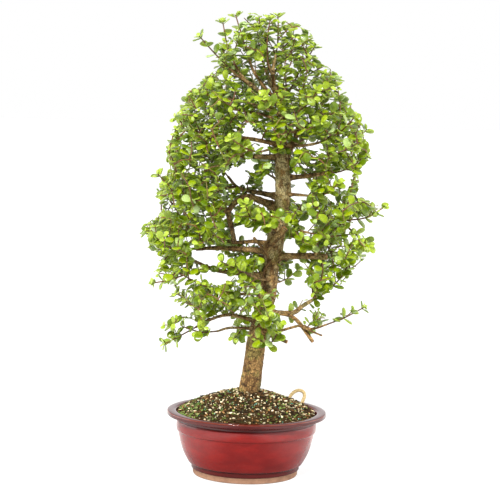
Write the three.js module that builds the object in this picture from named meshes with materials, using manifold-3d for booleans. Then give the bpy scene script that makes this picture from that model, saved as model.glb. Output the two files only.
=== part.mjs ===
// A dwarf jade bonsai in a glazed oval pot. Millimetres, +Z up, the pot's foot on z = 0, the tree's
// front towards -Y. The pot is centred on the origin.
import * as THREE from 'three';
import { mergeVertices } from 'three/addons/utils/BufferGeometryUtils.js';
import Module from 'manifold-3d';

const wasm = await Module();
wasm.setup();

// Driving dimensions
const GAP = 0.3;
const GRIDS = [0.004, 0.01, 0.003, 0.02, 0.007, 0.03];
const OVAL = 0.78;
const POT_SIDES = 28;
const LIP_RADIUS = 129;
const FOOT_RADIUS = 85;
const POT_HEIGHT = 104.5;
const FLOOR = 12;
const DRAIN = { x: 42, radius: 9, sides: 14 };
const SCREEN = { side: 34, thick: 1.2, holes: 2, hole: 10 };
const SOIL_TOP = 138.5;
const SOIL_GAP = 0.5;
const GRIT_RELIEF = 1.3;
const ROPE_RADIUS = 2.9;
const LEAF_LENGTH = 20;
const LEAF_WIDTH = 0.82;
const LEAF_THICK = 2.4;
const LEAF_SEAT = 0.3;
const BLADE = { sides: 5, taper: 0.8, foot: 0.55, swell: 0.6, cup: 0.035, droop: 1.2 };
const TWIG_RADIUS = 1.3;
const TIP_RADIUS = 1;
const INTERNODE = 13.5;
const TWIG_STEPS = 2;
const TWIG_SIDES = 3;
const TRUNK_SIDES = 9;
const LIMB = { sides: 4, thickSides: 6, thick: 3.9, stretch: 42 };
const ROPE_SIDES = 6;
const ROPE_STRETCH = 6;
const CLEARANCE = 0.8;
const BALL_PITCH = 4;

// How a spray grows: the spare length past its last pair, how far its tip sways and rises, where its
// first and last leaf pairs sit, how much leaf sizes and turns vary and how the tip leaves shrink
const SPRAY = {
  spare: 0.5, sway: 0.2, rise: 0.25, first: 0.22, last: 0.94, small: 0.9, vary: 0.2, shrink: 0.3, wobble: 0.5,
};
// How a leaf leans along its twig, outwards and up, and how its face turns along the twig and up
const LEAN = { along: 0.5, out: 0.85, up: 0.12, faceAlong: 0.75, faceUp: 0.5 };
// Twigs tried for a spray, turns tried for a leaf, probes along a twig and how close leaves of one spray sit
const TRIALS = 8;
const TURNS = [0, 0.5, -0.5, 1, -1];
const PROBES = [0.3, 0.4, 0.5, 0.6, 0.7, 0.8, 0.9, 1];
const OWN_SHARE = 0.6;

const PALETTE = {
  glaze: { color: 0x8e1414, roughness: 0.18, metalness: 0 },
  soil: { color: 0x4a4234, roughness: 0.95, metalness: 0 },
  mesh: { color: 0x2b2b28, roughness: 0.6, metalness: 0 },
  rope: { color: 0xb59a63, roughness: 0.9, metalness: 0 },
  bark: { color: 0x7d6240, roughness: 0.85, metalness: 0 },
  leaf: { color: 0x5c9a24, roughness: 0.35, metalness: 0 },
};

// The trunk's centre line from its root end to its tip, each point with the radius there
const TRUNK = [
  [-2, 0, 92, 15], [1, 0, 118, 19], [4, 0, 138, 17.5], [9, 0, 179, 16], [12, 0, 212, 15.5],
  [18, 2, 249, 13.8], [28, 4, 292, 14.5], [33, 4, 334, 13], [37, 2, 365, 14.5], [41, 0, 394, 13.5],
  [49, -2, 451, 12.6], [48, 0, 481, 12.4], [45, 2, 519, 10], [46, 4, 559, 7], [46, 4, 581, 6],
  [39, 6, 606, 5], [23, 4, 637, 4], [15, 0, 656, 1.8],
];

// Every limb: its radius at the root and at the end, the leaf pairs on the spray that ends it
// (none on a bare stub), and the points it passes through from inside its parent to its end
const LIMBS = {
  // the left side, from the bottom up
  left_stub: [2.6, 1.6, 4, [[15, 0, 238], [-28, -30, 244], [-50, -42, 240]]],
  left_low: [3.2, 1.8, 5, [[18, 2, 249], [-32, -8, 261], [-66, -28, 254], [-84, -40, 245]]],
  left_low_rear: [2.6, 1.5, 4, [[27, 4, 285], [-23, 40, 270], [-68, 58, 265]]],
  left_light: [2.8, 1.5, 5, [[28, 4, 295], [-15, -38, 300], [-48, -58, 308]]],
  left_dark: [4.6, 2.1, 5, [[32, 4, 324], [-35, -20, 332], [-65, -35, 340], [-88, -48, 352]]],
  left_tip_low: [2, 1.5, 4, [[-65, -35, 340], [-84, -56, 338], [-100, -64, 332]]],
  left_mid: [5, 2.5, 5, [[36, 2, 365], [-21, 10, 366], [-60, 14, 366], [-88, 8, 364]]],
  left_mid_rear: [3.8, 1.7, 4, [[37, 2, 374], [8, 8, 379], [-21, 16, 376], [-60, 42, 374], [-96, 68, 378]]],
  left_thick: [5.6, 3.4, 0, [
    [40, 0, 435], [3, -10, 450], [-16, -14, 450], [-36, -18, 430], [-32, -12, 405], [-26, 6, 378],
  ]],
  left_thick_arm: [3, 1.6, 5, [[-36, -18, 430], [-64, -38, 436], [-87, -52, 442]]],
  left_far: [2.4, 1.5, 4, [[-36, -18, 430], [-66, -4, 412], [-96, 4, 398], [-116, 6, 392]]],
  left_high: [4.4, 2, 5, [[46, 0, 452], [16, 8, 457], [-7, 12, 460], [-25, 14, 466], [-40, 22, 482]]],
  left_high_far: [2.4, 1.5, 4, [[-25, 14, 466], [-58, 2, 460], [-84, -12, 456]]],
  left_shade: [4.6, 2, 5, [[46, 2, 516], [14, 20, 515], [-13, 30, 515], [-46, 44, 515], [-70, 52, 512]]],
  left_pale: [3.8, 1.8, 4, [[45, 2, 534], [13, -14, 541], [-22, -26, 546], [-48, -38, 548], [-70, -46, 550]]],
  left_fan_rear: [2.6, 1.5, 4, [[46, 4, 572], [6, 20, 584], [-20, 38, 588], [-40, 52, 590]]],
  left_fan: [2.6, 1.5, 4, [[46, 4, 581], [12, -15, 594], [-16, -35, 602], [-34, -46, 604]]],
  crown_left: [3.4, 1.7, 4, [[42, 5, 598], [20, -8, 610], [-6, -18, 628], [-22, -24, 643], [-31, -27, 657]]],
  crown_left_high: [3.4, 1.8, 4, [
    [39, 6, 606], [24, -6, 616], [8, -12, 634], [-4, -15, 652], [-10, -17, 668],
  ]],
  crown_fan: [2.8, 1.5, 4, [[-6, -18, 628], [-19, -29, 636], [-32, -36, 645], [-42, -40, 654]]],
  // the right side, from the bottom up
  right_low: [4.4, 2.1, 4, [[24, 3, 266], [68, -20, 269], [85, -28, 282], [103, -35, 295], [120, -44, 308]]],
  right_low_up: [1.8, 1.5, 4, [[103, -35, 295], [100, -24, 310], [105, -14, 324]]],
  right_cut_low: [3.4, 3, 0, [[21, 3, 265], [69, -22, 263], [102, -46, 228]]],
  right_ringed: [2.6, 1.5, 4, [
    [15, 0, 236], [47, -25, 240], [81, -40, 252], [100, -50, 249], [122, -58, 258],
  ]],
  right_cut_twig: [1.8, 1.5, 0, [[81, -40, 252], [98, -52, 246], [115, -62, 241]]],
  right_cut_base: [3.4, 3, 0, [[14, 0, 227], [40, -12, 229], [62, -22, 222]]],
  right_base_twig: [2, 1.5, 4, [[12, 0, 213], [22, -20, 216], [27, -32, 218]]],
  right_thick: [5.4, 4.8, 0, [[36, 2, 357], [68, -10, 359], [94, -20, 361], [121, -26, 361]]],
  right_riser: [2.4, 1.6, 4, [[105, -23, 362], [103, -20, 380], [116, -8, 388]]],
  right_shade: [3.4, 1.6, 5, [[47, 0, 425], [64, -12, 424], [75, -32, 404], [92, -46, 400]]],
  right_far: [3, 1.6, 4, [[50, 0, 438], [86, 25, 427], [112, 29, 420], [135, 29, 416], [157, 24, 416]]],
  right_far_low: [1.8, 1.5, 4, [[135, 29, 416], [150, 6, 410], [160, -8, 402]]],
  right_far_rear: [2, 1.5, 4, [[112, 29, 420], [128, 54, 420], [136, 72, 426]]],
  right_mid: [3, 1.6, 5, [[51, 0, 457], [75, -25, 458], [92, -44, 458]]],
  right_high: [4.3, 1.9, 5, [[48, 0, 483], [85, 10, 486], [119, 20, 493], [131, 27, 506]]],
  right_high_low: [1.8, 1.5, 4, [[117, 20, 492], [131, 5, 494], [139, -8, 496]]],
  right_upper: [3, 1.5, 4, [[47, 2, 535], [73, -20, 535], [98, -34, 540], [112, -42, 546]]],
  right_upper_rear: [3.2, 1.5, 5, [[46, 4, 556], [74, 13, 558], [88, 22, 566], [94, 26, 576]]],
  right_upper_back: [2, 1.5, 4, [[88, 22, 566], [106, 46, 565], [116, 58, 569]]],
  crown_right: [2.6, 1.5, 4, [[46, 4, 578], [60, -22, 584], [70, -36, 590]]],
  crown_right_high: [2.4, 1.5, 4, [[42, 6, 600], [52, 2, 615], [58, -2, 628]]],
  // the top
  top_right: [3, 1.8, 3, [[31, 5, 622], [28, -8, 646], [29, -14, 662], [32, -16, 678]]],
  top_rear: [2.2, 1.5, 4, [[23, 4, 637], [30, 20, 650], [36, 28, 658]]],
  top_front: [2.8, 1.8, 3, [[28, -8, 646], [20, -16, 660], [18, -22, 676]]],
  // the front
  front_low: [2.4, 1.5, 5, [[22, 2, 269], [27, -24, 274], [29, -44, 268]]],
  front_left: [2.8, 1.5, 5, [[34, 4, 318], [14, -44, 326], [0, -66, 334]]],
  front_mid: [2.8, 1.5, 4, [[42, 0, 400], [26, -42, 408], [10, -68, 416]]],
  front_upper: [3, 1.5, 5, [[46, 2, 527], [32, -36, 530], [12, -72, 526]]],
  front_high: [2.6, 1.5, 4, [[47, 4, 568], [42, -36, 578], [32, -66, 588]]],
  // the back
  rear_leader: [6, 3, 0, [[46, 0, 500], [59, 22, 527], [70, 34, 556], [74, 44, 588]]],
  rear_leader_top: [3, 1.6, 4, [[74, 44, 588], [74, 50, 600], [73, 52, 612]]],
  rear_low: [2.8, 1.5, 4, [[31, 4, 312], [42, 48, 308], [52, 78, 306]]],
  rear_left: [3, 1.5, 4, [[35, 3, 350], [12, 56, 352], [-8, 86, 358]]],
  rear_right: [3, 1.5, 4, [[40, 1, 386], [54, 50, 390], [70, 84, 396]]],
  rear_high: [3, 1.5, 4, [[48, 0, 470], [38, 56, 478], [22, 92, 486]]],
  rear_upper: [3, 1.5, 4, [[62, 26, 536], [78, 62, 542], [92, 88, 548]]],
  rear_crown: [2.6, 1.5, 4, [[46, 5, 566], [26, 48, 580], [8, 74, 596]]],
  // cut stubs and a thin old twig on the trunk's front
  front_cut: [6, 5.2, 0, [[26, -4, 370], [40, -14, 388], [54, -19, 405]]],
  front_cross: [2.8, 2.2, 0, [[31, -4, 354], [18, -15, 372], [4, -17, 388]]],
  front_thread: [1.6, 1.2, 0, [[33, -8, 354], [23, -14, 336], [21, -13, 318], [24, -8, 306]]],
};

// The tie rope's loop, both ends down in the soil
const ROPE = [
  [66, 31, 90], [67, 31, 106], [70, 31, 118.5], [75, 31.5, 126.5], [82, 33, 131],
  [89, 34.5, 131], [94, 35, 127], [95, 34, 121], [92.5, 32.5, 114.5], [90, 31.5, 104], [89, 31, 90],
];

// The pot's section, outside from the foot's centre up to the lip and inside down to the floor
const POT_OUTSIDE = [
  [0, 0], [FOOT_RADIUS - 1, 0], [FOOT_RADIUS, 1.5], [FOOT_RADIUS + 0.5, 9.4], [87.6, 10.4],
  [88.4, 17], [92.4, 19.6], [100, 33], [104.5, 45], [108, 58], [111, 71], [113, 73], [113.6, 80],
  [113, 87.5], [111.8, 90], [113, 93.6], [120, 96.2], [LIP_RADIUS - 1, 97.4], [LIP_RADIUS, 99],
  [LIP_RADIUS, 102.4], [LIP_RADIUS - 1.8, POT_HEIGHT - 0.1],
  [117, POT_HEIGHT], [114.5, 103],
];
const POT_INSIDE = [[106, 74], [100, 52], [91, 28], [80, 14], [72, FLOOR]];
const SOIL_DOME = [[112.5, 100], [105, 106], [93, 112.3], [79, 118.8], [62, 125.2], [44, 131.6], [24, 136.6]];

const OUT = new THREE.Vector3();
const UP = new THREE.Vector3(0, 0, 1);

// A geometry with only its positions, its points rounded to a grid and welded, and without the
// slivers that this flattens: a triangle with two corners in one place, or two back to back
function weldedOn(grid, geometry) {
  const bare = new THREE.BufferGeometry();
  const values = geometry.getAttribute('position').array;
  const points = Float32Array.from(values, (value) => Math.round(value / grid) * grid);
  bare.setAttribute('position', new THREE.BufferAttribute(points, 3));
  if (geometry.index) bare.setIndex(geometry.index.clone());
  const merged = mergeVertices(bare, grid / 4);
  const faces = new Map();
  for (let i = 0; i < merged.index.count; i += 3) {
    const corners = [0, 1, 2].map((corner) => merged.index.getX(i + corner));
    if (new Set(corners).size < 3) continue;
    const key = [...corners].sort((p, q) => p - q).join();
    if (faces.has(key)) faces.delete(key);
    else faces.set(key, corners);
  }
  merged.setIndex([...faces.values()].flat());
  return merged;
}

// True where every edge lies between two faces
function isClosed(geometry) {
  const edges = new Map();
  for (let i = 0; i < geometry.index.count; i += 1) {
    const next = i % 3 === 2 ? i - 2 : i + 1;
    const key = [geometry.index.getX(i), geometry.index.getX(next)].sort((p, q) => p - q).join();
    edges.set(key, (edges.get(key) ?? 0) + 1);
  }
  return [...edges.values()].every((count) => count === 2);
}

// Rounding can pinch two edges into one, so the first grid that leaves the surface closed is used
function welded(geometry) {
  const tries = GRIDS.map((grid) => weldedOn(grid, geometry));
  return tries.find(isClosed) ?? tries[0];
}

// One closed solid from a three.js geometry
function solid(geometry) {
  const bare = welded(geometry);
  return new wasm.Manifold(new wasm.Mesh({
    numProp: 3,
    vertProperties: new Float32Array(bare.getAttribute('position').array),
    triVerts: new Uint32Array(bare.index.array),
  }));
}

function fuse(geometries) {
  return geometries.map(solid).reduce((whole, next) => whole.add(next));
}

function geometryOf(manifold) {
  const mesh = manifold.getMesh();
  const geometry = new THREE.BufferGeometry();
  geometry.setAttribute('position', new THREE.BufferAttribute(new Float32Array(mesh.vertProperties), 3));
  geometry.setIndex(new THREE.BufferAttribute(new Uint32Array(mesh.triVerts), 1));
  const clean = welded(geometry);
  clean.computeVertexNormals();
  return clean;
}

const part = new THREE.Group();

function addPart(name, manifold, finish) {
  const mesh = new THREE.Mesh(geometryOf(manifold), new THREE.MeshStandardMaterial(PALETTE[finish]));
  mesh.name = name;
  part.add(mesh);
}

// Seeded draws between 0 and 1
function seeded(seed) {
  let state = seed >>> 0;
  return () => {
    state = (Math.imul(state, 1664525) + 1013904223) >>> 0;
    return state / 4294967296;
  };
}

// A closed tube: a cylinder bent along a line of points, with its own radius at each
function bentTube(points, radii, sides) {
  const steps = points.length - 1;
  const tube = new THREE.CylinderGeometry(1, 1, 1, sides, steps, false);
  const normals = [];
  const binormals = [];
  points.forEach((point, i) => {
    const tangent = points[Math.min(i + 1, steps)].clone().sub(points[Math.max(i - 1, 0)]).normalize();
    const normal = i === 0 ? crosswise(tangent) : normals[i - 1].clone();
    normal.addScaledVector(tangent, -normal.dot(tangent)).normalize();
    normals.push(normal);
    binormals.push(new THREE.Vector3().crossVectors(tangent, normal));
  });
  const at = tube.getAttribute('position');
  for (let i = 0; i < at.count; i += 1) {
    const step = Math.round((0.5 + at.getY(i)) * steps);
    OUT.copy(points[step]);
    OUT.addScaledVector(normals[step], at.getX(i) * radii[step]);
    OUT.addScaledVector(binormals[step], -at.getZ(i) * radii[step]);
    at.setXYZ(i, OUT.x, OUT.y, OUT.z);
  }
  return tube;
}

// A level direction square to a tangent, or +X beside an upright one
function crosswise(tangent) {
  const level = new THREE.Vector3(-tangent.y, tangent.x, 0);
  return level.length() < 0.2 ? new THREE.Vector3(1, 0, 0) : level;
}

// Points along a smooth line through a route: every route point and, on long stretches, more between
function smoothLine(route, stretch = Infinity) {
  const places = route.map(([x, y, z]) => new THREE.Vector3(x, y, z));
  const curve = new THREE.CatmullRomCurve3(places, false, 'catmullrom', 0.5);
  const spans = places.length - 1;
  const steps = spans * Math.max(1, Math.round(curve.getLength() / spans / stretch));
  return Array.from({ length: steps + 1 }, (unused, i) => curve.getPoint(i / steps));
}

function tapered(root, end, points) {
  return points.map((point, i) => THREE.MathUtils.lerp(root, end, i / (points.length - 1)));
}

// An oval turned solid from a half section
function turned(section) {
  const points = section.map(([radius, z]) => new THREE.Vector2(radius, z));
  const lathe = new THREE.LatheGeometry(points, POT_SIDES);
  lathe.rotateX(Math.PI / 2);
  lathe.scale(1, OVAL, 1);
  return lathe;
}

// Places already taken, as balls: two sprays or a spray and a limb never meet
const taken = [];

function isClear(centre, radius, owner, own) {
  return taken.every((ball) => {
    const share = ball.owner === owner ? own : 1;
    return centre.distanceTo(ball.centre) >= share * (radius + ball.radius);
  });
}

function take(centre, radius, owner) {
  taken.push({ centre: centre.clone(), radius, owner });
}

// Pot
function buildPot() {
  const body = solid(turned([...POT_OUTSIDE, ...POT_INSIDE, [0, FLOOR]]));
  return [-DRAIN.x, DRAIN.x].reduce((pot, x) => {
    const drill = new THREE.CylinderGeometry(DRAIN.radius, DRAIN.radius, 4 * FLOOR, DRAIN.sides);
    drill.rotateX(Math.PI / 2);
    drill.translate(x, 0, 0);
    return pot.subtract(solid(drill));
  }, body);
}

// Drain screens: a square of plastic mesh over each drain hole
function buildScreen(x) {
  const pitch = SCREEN.side / SCREEN.holes;
  const middle = (SCREEN.holes - 1) / 2;
  let sheet = solid(new THREE.BoxGeometry(SCREEN.side, SCREEN.side, SCREEN.thick));
  for (let i = 0; i < SCREEN.holes; i += 1) {
    for (let j = 0; j < SCREEN.holes; j += 1) {
      const hole = new THREE.BoxGeometry(SCREEN.hole, SCREEN.hole, 2 * SCREEN.thick);
      hole.translate((i - middle) * pitch, (j - middle) * pitch, 0);
      sheet = sheet.subtract(solid(hole));
    }
  }
  return sheet.translate([x, 0, FLOOR + GAP + SCREEN.thick / 2]);
}

// Trunk and limbs, grown together as one piece of wood
function trunkTube(extra) {
  const radii = TRUNK.map((point) => point[3] + extra);
  return bentTube(smoothLine(TRUNK), radii, TRUNK_SIDES);
}

function takeAlong(points, radii, owner) {
  for (let i = 1; i < points.length; i += 1) {
    const count = Math.ceil(points[i].distanceTo(points[i - 1]) / BALL_PITCH);
    for (let j = 0; j <= count; j += 1) {
      const radius = THREE.MathUtils.lerp(radii[i - 1], radii[i], j / count);
      take(points[i - 1].clone().lerp(points[i], j / count), radius + CLEARANCE, owner);
    }
  }
}

function buildWood() {
  takeAlong(smoothLine(TRUNK), TRUNK.map((point) => point[3]), 'wood');
  const limbs = Object.values(LIMBS).map(([root, end, , route]) => {
    const points = smoothLine(route, LIMB.stretch);
    const radii = tapered(root, end, points);
    takeAlong(points, radii, 'wood');
    return bentTube(points, radii, root > LIMB.thick ? LIMB.thickSides : LIMB.sides);
  });
  return fuse([trunkTube(0), ...limbs]);
}

// One leaf: a plump five-sided blade, pointed at its foot, blunt at its tip and cupped a little
function leafBlade(base, forward, face, length) {
  const side = new THREE.Vector3().crossVectors(face, forward);
  const blade = new THREE.SphereGeometry(1, BLADE.sides, 2);
  blade.rotateX(Math.PI / 2);
  const at = blade.getAttribute('position');
  for (let i = 0; i < at.count; i += 1) {
    const [x, y, z] = [at.getX(i), at.getY(i), at.getZ(i)];
    const reach = ((1 + x) / 2) ** BLADE.taper;
    const across = (y * LEAF_WIDTH * length * (BLADE.foot + BLADE.swell * reach)) / 2;
    const lift = (z * LEAF_THICK) / 2 + BLADE.cup * across * across - BLADE.droop * reach * reach;
    OUT.copy(base).addScaledVector(forward, reach * length);
    OUT.addScaledVector(side, across).addScaledVector(face, lift);
    at.setXYZ(i, OUT.x, OUT.y, OUT.z);
  }
  return blade;
}

// Where a leaf points and faces: out from its twig, turned up to the light
function leafPose(tangent, outward) {
  const forward = new THREE.Vector3().addScaledVector(tangent, LEAN.along);
  forward.addScaledVector(outward, LEAN.out).addScaledVector(UP, LEAN.up).normalize();
  const face = new THREE.Vector3().addScaledVector(tangent, LEAN.faceAlong).addScaledVector(UP, LEAN.faceUp);
  face.addScaledVector(forward, -face.dot(forward)).normalize();
  return { forward, face };
}

function aroundTwig(tangent, angle) {
  const level = crosswise(tangent);
  level.addScaledVector(tangent, -level.dot(tangent)).normalize();
  const rise = new THREE.Vector3().crossVectors(tangent, level);
  return level.multiplyScalar(Math.cos(angle)).addScaledVector(rise, Math.sin(angle));
}

// One twig of straight stretches: its base, its first direction and how far its tip bends off that
class Twig {
  constructor(base, direction, bend, length) {
    this.points = Array.from({ length: TWIG_STEPS + 1 }, (unused, i) => {
      const along = i / TWIG_STEPS;
      const point = base.clone().addScaledVector(direction, length * along);
      return point.addScaledVector(bend, along * along);
    });
  }

  stretch(along) {
    return Math.min(Math.floor(along * TWIG_STEPS), TWIG_STEPS - 1);
  }

  point(along) {
    const i = this.stretch(along);
    return this.points[i].clone().lerp(this.points[i + 1], along * TWIG_STEPS - i);
  }

  tangent(along) {
    const i = this.stretch(along);
    return this.points[i + 1].clone().sub(this.points[i]).normalize();
  }

  tube() {
    return bentTube(this.points, tapered(TWIG_RADIUS, TIP_RADIUS, this.points), TWIG_SIDES);
  }

  isClear(owner) {
    return PROBES.every((along) => isClear(this.point(along), TWIG_RADIUS + CLEARANCE, owner, 0));
  }
}

// A leaf that would reach another spray turns about its twig until it is clear
function growLeaf(pieces, twig, along, angle, length, owner) {
  const node = twig.point(along);
  const tangent = twig.tangent(along);
  for (const turn of TURNS) {
    const { forward, face } = leafPose(tangent, aroundTwig(tangent, angle + turn));
    const base = node.clone().addScaledVector(forward, LEAF_SEAT);
    const centre = node.clone().addScaledVector(forward, length / 2);
    if (isClear(centre, length / 2, owner, OWN_SHARE)) {
      take(centre, length / 2, owner);
      pieces.push(leafBlade(base, forward, face, length));
      return;
    }
  }
}

// A spray: leaf pairs set crosswise along a twig, smaller towards its tip
function buildSpray(name, limb, seed) {
  const draw = seeded(seed);
  const [, , pairs, route] = limb;
  const end = new THREE.Vector3(...route[route.length - 1]);
  const outward = end.clone().sub(new THREE.Vector3(...route[route.length - 2])).normalize();
  const base = end.clone().addScaledVector(outward, GAP);
  const length = INTERNODE * (pairs + SPRAY.spare * draw());
  let twig = null;
  for (let trial = 0; trial < TRIALS; trial += 1) {
    const sway = aroundTwig(outward, 2 * Math.PI * draw()).multiplyScalar(SPRAY.sway * length);
    twig = new Twig(base, outward, sway.addScaledVector(UP, SPRAY.rise * length), length);
    if (twig.isClear(name)) break;
  }
  takeAlong(twig.points, tapered(TWIG_RADIUS, TIP_RADIUS, twig.points), name);
  const pieces = [twig.tube()];
  const start = 2 * Math.PI * draw();
  for (let pair = 0; pair < pairs; pair += 1) {
    const along = THREE.MathUtils.lerp(SPRAY.first, SPRAY.last, pair / (pairs - 1));
    const size = LEAF_LENGTH * (SPRAY.small + SPRAY.vary * draw() - SPRAY.shrink * along * along);
    const angle = start + (Math.PI / 2) * pair + SPRAY.wobble * (draw() - 0.5);
    growLeaf(pieces, twig, along, angle, size, name);
    growLeaf(pieces, twig, along, angle + Math.PI, size, name);
  }
  const fused = fuse(pieces);
  return fused.decompose().reduce((most, next) => (next.volume() > most.volume() ? next : most));
}

// Tie rope
function ropeTube(radius) {
  const points = smoothLine(ROPE, ROPE_STRETCH);
  return bentTube(points, points.map(() => radius), ROPE_SIDES);
}

// Soil: a mound with a gritty surface, plain holes for the trunk and the rope and a pocket for each
// drain screen
function buildSoil() {
  const inside = POT_INSIDE.map(([radius, z]) => [radius - SOIL_GAP, z === FLOOR ? FLOOR + SOIL_GAP : z]);
  const section = [[0, FLOOR + SOIL_GAP], ...inside.reverse(), ...SOIL_DOME, [0, SOIL_TOP]];
  const mound = turned(section);
  const at = mound.getAttribute('position');
  for (let i = 0; i < at.count; i += 1) {
    const [x, y, z] = [at.getX(i), at.getY(i), at.getZ(i)];
    if (z < SOIL_DOME[1][1] - 1) continue;
    const grit = Math.sin(0.9 * x + 1.3 * y) * Math.cos(1.7 * x - 0.6 * y);
    at.setZ(i, z + GRIT_RELIEF * grit);
  }
  let soil = solid(mound);
  for (const stem of [solid(trunkTube(2 * GAP)), solid(ropeTube(ROPE_RADIUS + 2 * GAP))]) {
    soil = soil.subtract(stem).subtract(stem.translate([0, 0, -2 * GAP]));
  }
  for (const x of [-DRAIN.x, DRAIN.x]) {
    const side = SCREEN.side + 2 * GAP;
    const pocket = new THREE.BoxGeometry(side, side, 2 * (SCREEN.thick + GAP));
    pocket.translate(x, 0, FLOOR + GAP);
    soil = soil.subtract(solid(pocket));
  }
  return soil;
}

addPart('pot', buildPot(), 'glaze');
addPart('drain_screen_left', buildScreen(-DRAIN.x), 'mesh');
addPart('drain_screen_right', buildScreen(DRAIN.x), 'mesh');
addPart('soil', buildSoil(), 'soil');
addPart('tie_rope', solid(ropeTube(ROPE_RADIUS)), 'rope');
addPart('tree_wood', buildWood(), 'bark');

const leafy = Object.entries(LIMBS).filter(([, limb]) => limb[2] > 0);
const leader = [2, 1.6, 4, TRUNK.slice(-2).map(([x, y, z]) => [x, y, z])];
[...leafy, ['leader', leader]].forEach(([name, limb], index) => {
  addPart(`spray_${name}`, buildSpray(name, limb, 101 + 37 * index), 'leaf');
});

export default part;
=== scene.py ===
"""A dwarf jade bonsai in a red glazed oval pot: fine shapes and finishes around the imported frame.

Tables and named sizes are millimetres in the frame's axes, as in the part's source. Meshes are in
metres. The tree grows by the same seeded rule as the solids, so each fine spray keeps the place
and form of the solid that it stands for, and the rest of the foliage grows around them.
"""
import logging
import math
from collections import defaultdict
from dataclasses import dataclass, field
from enum import Enum
from functools import lru_cache
from typing import Callable, Iterable, Optional, Sequence

import bmesh
import bpy
import numpy as np
from mathutils import Matrix, Vector, noise


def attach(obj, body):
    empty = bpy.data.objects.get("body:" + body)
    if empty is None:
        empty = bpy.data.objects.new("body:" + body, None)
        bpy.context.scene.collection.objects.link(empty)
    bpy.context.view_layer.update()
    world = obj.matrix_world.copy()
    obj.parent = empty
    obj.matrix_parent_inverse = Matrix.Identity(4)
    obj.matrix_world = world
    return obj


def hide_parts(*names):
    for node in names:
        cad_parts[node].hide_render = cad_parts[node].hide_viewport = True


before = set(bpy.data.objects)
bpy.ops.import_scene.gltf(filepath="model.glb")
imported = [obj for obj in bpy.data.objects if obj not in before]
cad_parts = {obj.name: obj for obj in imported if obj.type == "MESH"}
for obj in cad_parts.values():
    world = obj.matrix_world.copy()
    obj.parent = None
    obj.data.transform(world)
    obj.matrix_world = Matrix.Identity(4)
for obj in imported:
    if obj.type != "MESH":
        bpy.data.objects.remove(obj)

LOG = logging.getLogger("bonsai")
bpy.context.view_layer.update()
ROOT_BODY = "root"
MM = 0.001
TAU = 2 * math.pi

Point = np.ndarray
Colour = tuple[float, float, float, float]


def point(x: float, y: float, z: float) -> Point:
    """A point or direction in millimetres."""
    return np.array([x, y, z], dtype=float)


UP = point(0, 0, 1)


# Driving dimensions, shared with the solids
OVAL = 0.78
LIP_RADIUS = 129.0
FOOT_RADIUS = 85.0
POT_HEIGHT = 104.5
FLOOR = 12.0
DRAIN_X = 42.0
DRAIN_RADIUS = 9.0
SOIL_TOP = 138.5
ROPE_RADIUS = 2.9
LEAF_LENGTH = 20.0
LEAF_SEAT = 0.3
TWIG_RADIUS = 1.3
TIP_RADIUS = 1.0
INTERNODE = 13.5
TWIG_STEPS = 2
LIMB_STRETCH = 42.0
CLEARANCE = 0.8
GAP = 0.3
BALL_PITCH = 4.0
FIRST_SEED = 101
SEED_STEP = 37


@dataclass(frozen=True)
class SprayRule:
    """How an end spray grows, as in the solids."""

    spare: float = 0.5
    sway: float = 0.2
    rise: float = 0.25
    first: float = 0.22
    last: float = 0.94
    small: float = 0.9
    vary: float = 0.2
    shrink: float = 0.3
    wobble: float = 0.5
    trials: int = 8
    own_share: float = 0.6
    turns: tuple[float, ...] = (0, 0.5, -0.5, 1, -1)
    probes: tuple[float, ...] = (0.3, 0.4, 0.5, 0.6, 0.7, 0.8, 0.9, 1)


@dataclass(frozen=True)
class LeanRule:
    """How a leaf leans along its twig, outwards and up, and how its face turns."""

    along: float = 0.5
    out: float = 0.85
    up: float = 0.12
    face_along: float = 0.75
    face_up: float = 0.5


@dataclass(frozen=True)
class Limb:
    """One branch: radii at its root and end, leaf pairs on its end spray and the points it follows."""

    root: float
    end: float
    pairs: int
    route: tuple[tuple[float, float, float], ...]


SPRAY = SprayRule()
LEAN = LeanRule()

# The trunk's centre line with its radii, and every limb, from inside its parent to its end
TRUNK = [
    (-2, 0, 92, 15), (1, 0, 118, 19), (4, 0, 138, 17.5), (9, 0, 179, 16), (12, 0, 212, 15.5),
    (18, 2, 249, 13.8), (28, 4, 292, 14.5), (33, 4, 334, 13), (37, 2, 365, 14.5),
    (41, 0, 394, 13.5), (49, -2, 451, 12.6), (48, 0, 481, 12.4), (45, 2, 519, 10), (46, 4, 559, 7),
    (46, 4, 581, 6), (39, 6, 606, 5), (23, 4, 637, 4), (15, 0, 656, 1.8),
]

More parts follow.
